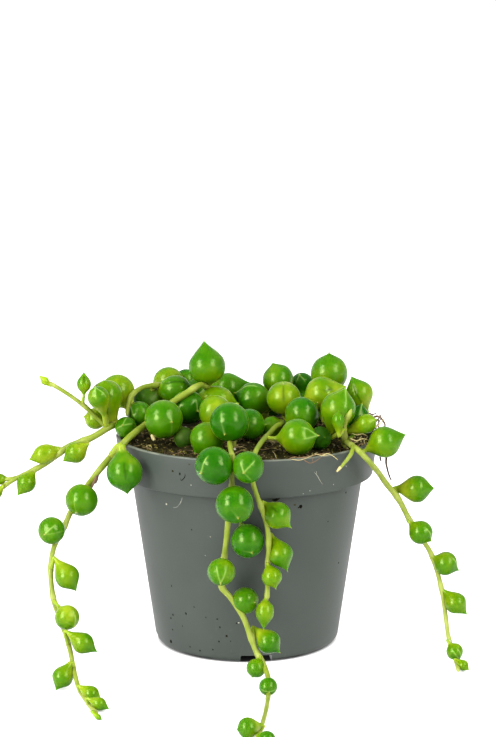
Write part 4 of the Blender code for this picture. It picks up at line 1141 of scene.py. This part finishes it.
def pot_profile():
    """Half the pot's section: under the foot, up the outside, over the lip and down inside."""
    small = 0.3
    foot_round = 1.7
    band_round = 0.22
    inner_round = 0.2
    inner = RIM_RADIUS - WALL
    profile = [(0.0, 0.0), (RECESS_INNER_RADIUS - small, 0.0)]
    profile += arc((RECESS_INNER_RADIUS - small, small), small, -90, 0, 3)[1:]
    profile += [
        (RECESS_INNER_RADIUS + 0.2, RECESS_HEIGHT),
        (RECESS_OUTER_RADIUS - small, RECESS_HEIGHT),
        (RECESS_OUTER_RADIUS - 0.05, small),
        (RECESS_OUTER_RADIUS + 0.25, 0.0),
        (FOOT_RADIUS - 0.7, 0.0),
    ]
    profile += arc((FOOT_RADIUS - 0.25, foot_round), foot_round, -80, -10, 8)
    profile += [(BODY_FOOT_RADIUS, BODY_FOOT)]
    profile += [
        (BODY_FOOT_RADIUS + (BODY_TOP_RADIUS - BODY_FOOT_RADIUS) * share,
         BODY_FOOT + (BAND_FOOT - STEP_HEIGHT - BODY_FOOT) * share)
        for share in (0.2, 0.4, 0.6, 0.8, 1.0)
    ]
    profile += [(BODY_TOP_RADIUS + 0.06, BAND_FOOT - 0.1), (BODY_TOP_RADIUS + 0.2, BAND_FOOT)]
    profile += arc((BAND_FOOT_RADIUS - band_round, BAND_FOOT + band_round), band_round, -90, 0, 5)
    profile += [
        (BAND_FOOT_RADIUS + (RIM_RADIUS - BAND_FOOT_RADIUS) * share,
         BAND_FOOT + band_round + (BAND_HEIGHT - band_round - LIP_ROUND) * share)
        for share in (0.25, 0.5, 0.75)
    ]
    profile += arc((RIM_RADIUS - LIP_ROUND, POT_HEIGHT - LIP_ROUND), LIP_ROUND, 0, 90, 6)
    profile += arc((inner + inner_round, POT_HEIGHT - inner_round), inner_round, 90, 180, 5)
    profile += [
        (BAND_FOOT_RADIUS - WALL, BAND_FOOT + WALL),
        (BODY_TOP_RADIUS - WALL, BAND_FOOT - 0.3),
        (BODY_FOOT_RADIUS - WALL, BODY_FOOT),
        (FOOT_RADIUS - WALL, RECESS_HEIGHT + WALL),
        (0.0, RECESS_HEIGHT + WALL),
    ]
    return profile


def drain_notch(reach):
    """A block with rounded upper edges that cuts one notch through the foot ring."""
    below = 1.0
    inner = RECESS_OUTER_RADIUS - 1.2
    outer = BODY_FOOT_RADIUS + 2.0
    size = (outer - inner, DRAIN_WIDTH, DRAIN_HEIGHT + below)
    middle = ((outer + inner) / 2, 0, (DRAIN_HEIGHT - below) / 2)
    notch = bmesh.new()
    bmesh.ops.create_cube(notch, size=1.0)
    bmesh.ops.scale(notch, vec=size, verts=notch.verts)
    bmesh.ops.translate(notch, vec=middle, verts=notch.verts)
    upper = []
    for edge in notch.edges:
        first, last = (corner.co for corner in edge.verts)
        if first.z > 0 and abs(first.z - last.z) < 1e-6 and abs(first.y - last.y) < 1e-6:
            upper.append(edge)
    bmesh.ops.bevel(notch, geom=upper, offset=0.35, segments=3, affect="EDGES", profile=0.5)
    turn = Vector((1, 0, 0)).rotation_difference(reach).to_matrix()
    bmesh.ops.rotate(notch, matrix=turn, verts=notch.verts)
    return notch


def drain_hole(reach):
    """A round hole through the floor of the recess."""
    hole = bmesh.new()
    bmesh.ops.create_cone(
        hole, cap_ends=True, segments=48, radius1=DRAIN_HOLE_RADIUS, radius2=DRAIN_HOLE_RADIUS, depth=4.0,
    )
    middle = (RECESS_INNER_RADIUS + RECESS_OUTER_RADIUS) / 2.0
    bmesh.ops.translate(hole, vec=reach * middle + Vector((0, 0, 2.0)), verts=hole.verts)
    return hole


def make_pot(material):
    pot = bpy.data.objects.new("pot_detailed", turned("pot_detailed", pot_profile(), POT_SIDES))
    bpy.context.scene.collection.objects.link(pot)
    drains = bpy.data.collections.new("drains")
    bpy.context.scene.collection.children.link(drains)
    for index in range(DRAIN_COUNT):
        turn = DRAIN_TURN + TURN * index / DRAIN_COUNT
        reach = Vector((math.cos(turn), math.sin(turn), 0.0))
        for shape in (drain_notch(reach), drain_hole(reach)):
            bmesh.ops.scale(shape, vec=(MM, MM, MM), verts=shape.verts)
            bmesh.ops.recalc_face_normals(shape, faces=shape.faces)
            mesh = bpy.data.meshes.new("drain")
            shape.to_mesh(mesh)
            shape.free()
            drains.objects.link(bpy.data.objects.new("drain", mesh))
    cut = pot.modifiers.new("drains", "BOOLEAN")
    cut.operation = "DIFFERENCE"
    cut.operand_type = "COLLECTION"
    cut.collection = drains
    cut.solver = "EXACT"
    graph = bpy.context.evaluated_depsgraph_get()
    pot.data = bpy.data.meshes.new_from_object(pot.evaluated_get(graph))
    pot.modifiers.clear()
    for helper in list(drains.objects):
        bpy.data.objects.remove(helper, do_unlink=True)
    bpy.data.collections.remove(drains)
    pot.data.shade_smooth()
    pot.data.set_sharp_from_angle(angle=SHARP_ANGLE)
    pot.data.materials.clear()
    pot.data.materials.append(material)
    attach(pot, "root")
    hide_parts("pot")


def on_pot(angle, height, lift=0.0):
    """A place on the pot's outside and the directions across, up and out there."""
    if height > BAND_FOOT:
        rise = (height - BAND_FOOT) / BAND_HEIGHT
        radius = BAND_FOOT_RADIUS + (RIM_RADIUS - BAND_FOOT_RADIUS) * rise
    else:
        rise = (height - BODY_FOOT) / (BAND_FOOT - STEP_HEIGHT - BODY_FOOT)
        radius = BODY_FOOT_RADIUS + (BODY_TOP_RADIUS - BODY_FOOT_RADIUS) * rise
    turn = math.radians(angle)
    out = np.array((math.cos(turn), math.sin(turn), 0.0))
    across = np.array((-math.sin(turn), math.cos(turn), 0.0))
    up = unit(np.array((0.0, 0.0, 1.0)) + 0.14 * out)
    return out * (radius + lift) + np.array((0.0, 0.0, height)), across, up, out


def make_pot_marks(dirt, chalk):
    """Specks of soil and pale scuffs on the pot; the back carries its own few."""
    rng = random.Random("marks")
    points, faces = chunk_model()
    specks = Shape()
    scuffs = Shape()
    spots = list(POT_SPOTS)
    for _ in range(BACK_SPOTS):
        angle = rng.uniform(5.0, 175.0)
        height = rng.choice((rng.uniform(4.0, 14.0), rng.uniform(14.0, 46.0)))
        width = BACK_SPOT_SIZE * rng.uniform(0.7, 1.8)
        tall = BACK_SPOT_SIZE * rng.uniform(0.7, 1.8)
        spots.append((angle, height, width, tall, rng.choice((0.1, 0.15, 0.9))))
    for angle, height, width, tall, tone in spots:
        place, across, up, out = on_pot(angle, height)
        body = points * np.array([[rng.uniform(0.75, 1.15)] for _ in range(len(points))])
        body = (
            body[:, 0:1] * width * across + body[:, 1:2] * tall * up + body[:, 2:3] * SPOT_DEPTH * out
        )
        (scuffs if tone > CHALK_TONE else specks).add(place + body, (), faces, tone=tone)
    lines = list(POT_SCRATCHES)
    for _ in range(BACK_SCRATCHES):
        angle = rng.uniform(20.0, 160.0)
        height = rng.uniform(12.0, 44.0)
        end = (angle + rng.uniform(-3.0, 3.0), height - rng.uniform(0.5, 2.0))
        lines.append((*BACK_SCRATCH_LOOK, (angle, height), end))
    for thick, tone, *line in lines:
        route = smooth_route([on_pot(a, h, -0.3 * thick)[0] for a, h in line], 0.3)
        share = np.linspace(0.0, 1.0, len(route))
        radii = thick * np.sqrt(np.clip(4.0 * share * (1.0 - share), 0.04, 1.0))
        tube(scuffs if tone > CHALK_TONE else specks, route, radii, 6, tone)
    specks.piece("pot_specks", dirt, "soil")
    scuffs.piece("pot_scuffs", chalk, "pot_plastic")


# Soil and loose matter


def soil_top(x, y):
    """The coarse soil surface with its lumps and pits."""
    place = Vector((x, y, 0.0))
    lump = 0.34 * noise.noise(place * 0.34) + 0.26 * noise.noise(place * 0.9 + Vector((7.0, 0.0, 3.0)))
    lump += 0.16 * noise.noise(place * 2.2) + 0.09 * noise.noise(place * 5.0)
    return soil_height(x, y) + 0.15 + lump


def in_disc(rng, reach):
    """A random place in a circle: how far out it is, and where."""
    radius = reach * math.sqrt(rng.random())
    angle = rng.uniform(0.0, TURN)
    return radius, radius * math.cos(angle), radius * math.sin(angle)


def chunk_model():
    shape = bmesh.new()
    bmesh.ops.create_icosphere(shape, subdivisions=1, radius=1.0)
    points = np.array([v.co[:] for v in shape.verts])
    faces = np.array([[v.index for v in f.verts] for f in shape.faces])
    shape.free()
    return points, faces


def add_chunk(shape, model, place, size, rng, tone):
    """A small angular crumb."""
    points, faces = model
    scale = np.array([size * rng.uniform(0.55, 1.25) for _ in range(3)])
    jitter = np.array([[rng.uniform(0.72, 1.2)] for _ in range(len(points))])
    turn = Vector((rng.uniform(-1, 1), rng.uniform(-1, 1), rng.uniform(-1, 1))).normalized()
    matrix = np.array(Vector((0, 0, 1)).rotation_difference(turn).to_matrix())
    shape.add((points * jitter * scale) @ matrix.T + np.array(place), (), faces, tone=tone)


def make_soil_bed(material):
    """The plug of soil from the pot's floor up, with an uneven top that sinks at its edge."""
    angles = ring_angles(SOIL_SIDES)
    floor = RECESS_HEIGHT + WALL + GAP
    side = (
        (0.01, floor),
        (FOOT_RADIUS - WALL - 0.6, floor),
        (BODY_FOOT_RADIUS - WALL - 0.5, BODY_FOOT + 0.4),
        (BODY_TOP_RADIUS - WALL - 0.55, BAND_FOOT + 0.1),
        (BAND_FOOT_RADIUS - WALL - 0.6, BAND_FOOT + WALL + 0.7),
    )
    rings = []
    for radius, height in side:
        rings.append([(radius * math.cos(a), radius * math.sin(a), height) for a in angles])
    shares = np.concatenate([np.linspace(0.004, 0.93, 62), np.linspace(0.945, 1.0, 6)])
    for share in shares[::-1]:
        sink = float(SOIL_EDGE_SINK * smooth(0.955, 1.0, share))
        ring = []
        for angle in angles:
            x = SOIL_EDGE * share * math.cos(angle)
            y = SOIL_EDGE * share * math.sin(angle)
            ring.append((x, y, soil_top(x, y) - sink))
        rings.append(ring)
    points = np.array(rings).reshape(-1, 3)
    points = np.concatenate([points, [(0, 0, floor), (0, 0, soil_top(0, 0))]])
    tone = np.array([0.31 + 0.3 * noise.noise(Vector(p) * 1.3) for p in points])
    tone = tone + 0.12 * smooth(20.0, 28.0, np.hypot(points[:, 0], points[:, 1]))
    soil = Shape()
    soil.add(points, *ring_faces(len(rings), SOIL_SIDES), tone=tone)
    soil.piece("soil_bed", material, "soil", ("soil",))


def make_crumbs(material):
    """Crumbs of peat, mostly small and dark, drier and paler near the pot's wall."""
    rng = random.Random("soil")
    crumbs = Shape()
    model = chunk_model()
    for _ in range(CRUMB_COUNT):
        radius, x, y = in_disc(rng, SOIL_EDGE - 0.5)
        size = 0.11 + 0.38 * rng.random() ** 2.6
        pick = rng.random()
        if pick < 0.5:
            tone = rng.uniform(0.05, 0.4)
        elif pick < 0.9:
            tone = rng.uniform(0.4, 0.8)
        elif pick < 0.985:
            tone = rng.uniform(0.8, 0.95)
        else:
            tone = 1.0
        tone = min(1.0, tone + 0.12 * float(smooth(21.0, 28.0, radius)))
        add_chunk(crumbs, model, (x, y, soil_top(x, y) + 0.12 * size), size, rng, tone)
    crumbs.piece("soil_crumbs", material, "soil")


def wandering_thread(rng):
    """Places of a thread that wanders over the soil and stops at the pot's wall."""
    _, x, y = in_disc(rng, FIBRE_REACH)
    heading = rng.uniform(0.0, TURN)
    turn = rng.uniform(-0.5, 0.5)
    lift = rng.uniform(0.05, 0.5)
    count = rng.randint(5, 10)
    route = []
    for step in range(count):
        if math.hypot(x, y) > FIBRE_LIMIT:
            break
        rise = lift * math.sin(math.pi * (step / (count - 1)))
        route.append((x, y, soil_top(x, y) + 0.06 + rise))
        heading += turn + rng.uniform(-0.4, 0.4)
        x += 0.5 * math.cos(heading)
        y += 0.5 * math.sin(heading)
    return route


def make_fibres(material):
    """Fine roots and coir threads that lie on the soil."""
    rng = random.Random("fibres")
    fibres = Shape()
    for thick, tone, *places in THREADS:
        line = smooth_route(places, 0.25)
        tube(fibres, line, thick * (1.0 - 0.45 * np.linspace(0.0, 1.0, len(line))), 6, tone)
    for _ in range(FIBRE_COUNT):
        route = wandering_thread(rng)
        if len(route) < 4:
            continue
        line = smooth_route(route, 0.3)
        thick = rng.uniform(0.035, 0.09)
        radii = thick * (1.0 - 0.6 * np.linspace(0.0, 1.0, len(line)))
        tube(fibres, line, radii, 5, rng.uniform(0.1, 1.0))
    fibres.piece("fibres", material, "root")


def make_perlite(material):
    """The few cream grains that stand out of the soil."""
    rng = random.Random("perlite")
    grains = Shape()
    model = chunk_model()
    for x, y, z, size in PERLITE:
        add_chunk(grains, model, (x, y, z), size, rng, 1.0)
    for _ in range(GRAIN_COUNT):
        _, x, y = in_disc(rng, GRAIN_REACH)
        add_chunk(grains, model, (x, y, soil_top(x, y) + 0.1), rng.uniform(0.15, 0.34), rng, 1.0)
    grains.piece("perlite", material, "soil")


# Setting


def make_floor():
    """A white disc that glows softly, apart from the ground that the pot covers, which is painted near
    black as its shadow.
    """
    shape = bmesh.new()
    bmesh.ops.create_circle(shape, cap_ends=True, segments=96, radius=FLOOR_RADIUS)
    mesh = bpy.data.meshes.new("floor")
    shape.to_mesh(mesh)
    shape.free()
    floor = bpy.data.objects.new("floor", mesh)
    bpy.context.scene.collection.objects.link(floor)
    g = Graph(bpy.data.materials.new("floor_white"))
    grain = g.noise(300.0)
    colour = g.mix(g.span(grain, 0.3, 0.7), (0.70, 0.70, 0.70), (0.72, 0.72, 0.72))
    reach = g.add("VectorMath", {"operation": "LENGTH"})
    g.put(reach.inputs[0], g.places())
    # Painted shadow: under the pot the floor is near black and does not glow
    outside_painted_shadow = g.span(reach.outputs["Value"], *FLOOR_SHADOW_EDGE)
    colour = g.mix(outside_painted_shadow, (0.03, 0.03, 0.03), colour)
    glow = g.maths("MULTIPLY", outside_painted_shadow, FLOOR_GLOW)
    mesh.materials.append(
        g.finish(Base_Color=colour, Roughness=0.6, Emission_Color=WHITE, Emission_Strength=glow)
    )
    floor.visible_glossy = False


def softbox(name, azimuth, elevation, width, height, power):
    """A rectangular light; azimuth is counted from the front, to the right."""
    light = bpy.data.lights.new(name, "AREA")
    light.shape = "RECTANGLE"
    light.size = width
    light.size_y = height
    light.energy = power
    lamp = bpy.data.objects.new(name, light)
    turn = math.radians(azimuth)
    rise = math.radians(elevation)
    away = Vector((math.sin(turn) * math.cos(rise), -math.cos(turn) * math.cos(rise), math.sin(rise)))
    lamp.location = SOFTBOX_AIM + away * SOFTBOX_DISTANCE
    lamp.rotation_euler = away.to_track_quat("Z", "Y").to_euler()
    lamp.visible_camera = False
    bpy.context.scene.collection.objects.link(lamp)


def make_world():
    """A white studio: brighter above and behind for what it lights, dim in front in what shines."""
    world = bpy.data.worlds.new("studio")
    bpy.context.scene.world = world
    g = Graph(world, "Background")
    world.cycles.sampling_method = "NONE"
    way = g.add("SeparateXYZ", Vector=g.places("Generated")).outputs
    ray = g.add("LightPath").outputs
    shine = g.span(way["Y"], 0.0, 0.9, 0.09, 0.62)
    low = g.span(way["Z"], -0.9, -0.5, 0.5, 1.5)
    shine = g.mix(g.span(way["Z"], -0.15, 0.25), low, shine, "FLOAT")
    light = g.span(way["Z"], -0.2, 1.0, 1.57, 1.9)
    light = g.maths("ADD", light, g.span(way["Y"], -1.0, 0.2, 0.9, 0.0))
    strength = g.mix(ray["Is Diffuse Ray"], shine, light, "FLOAT")
    strength = g.mix(ray["Is Camera Ray"], strength, BACKDROP_STRENGTH, "FLOAT")
    g.finish(Color=WHITE, Strength=strength)


def make_camera():
    data = bpy.data.cameras.new("camera")
    data.sensor_fit = "VERTICAL"
    data.sensor_height = SENSOR_HEIGHT
    data.lens = FOCAL_PIXELS / PICTURE_HEIGHT * SENSOR_HEIGHT
    data.clip_start = 0.01
    data.clip_end = 50.0
    camera = bpy.data.objects.new("camera", data)
    camera.location = CAMERA_PLACE
    camera.rotation_euler = (math.radians(90.0 - CAMERA_TILT), 0.0, 0.0)
    bpy.context.scene.collection.objects.link(camera)
    bpy.context.scene.camera = camera


def main():
    view = bpy.context.scene.view_settings
    view.view_transform = "Standard"
    view.look = "None"
    make_camera()
    make_world()
    make_floor()
    for lamp in SOFTBOXES:
        softbox(*lamp)
    skin = leaf_skin()
    stalk = stem_skin()
    for name, stem in STEMS.items():
        add_plant(name, stem, skin, stalk)
    make_pot(pot_plastic())
    peat = soil_peat()
    chalk = scuff_chalk()
    make_soil_bed(peat)
    make_crumbs(peat)
    make_fibres(root_bark())
    make_pot_marks(peat, chalk)
    make_perlite(chalk)


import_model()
main()
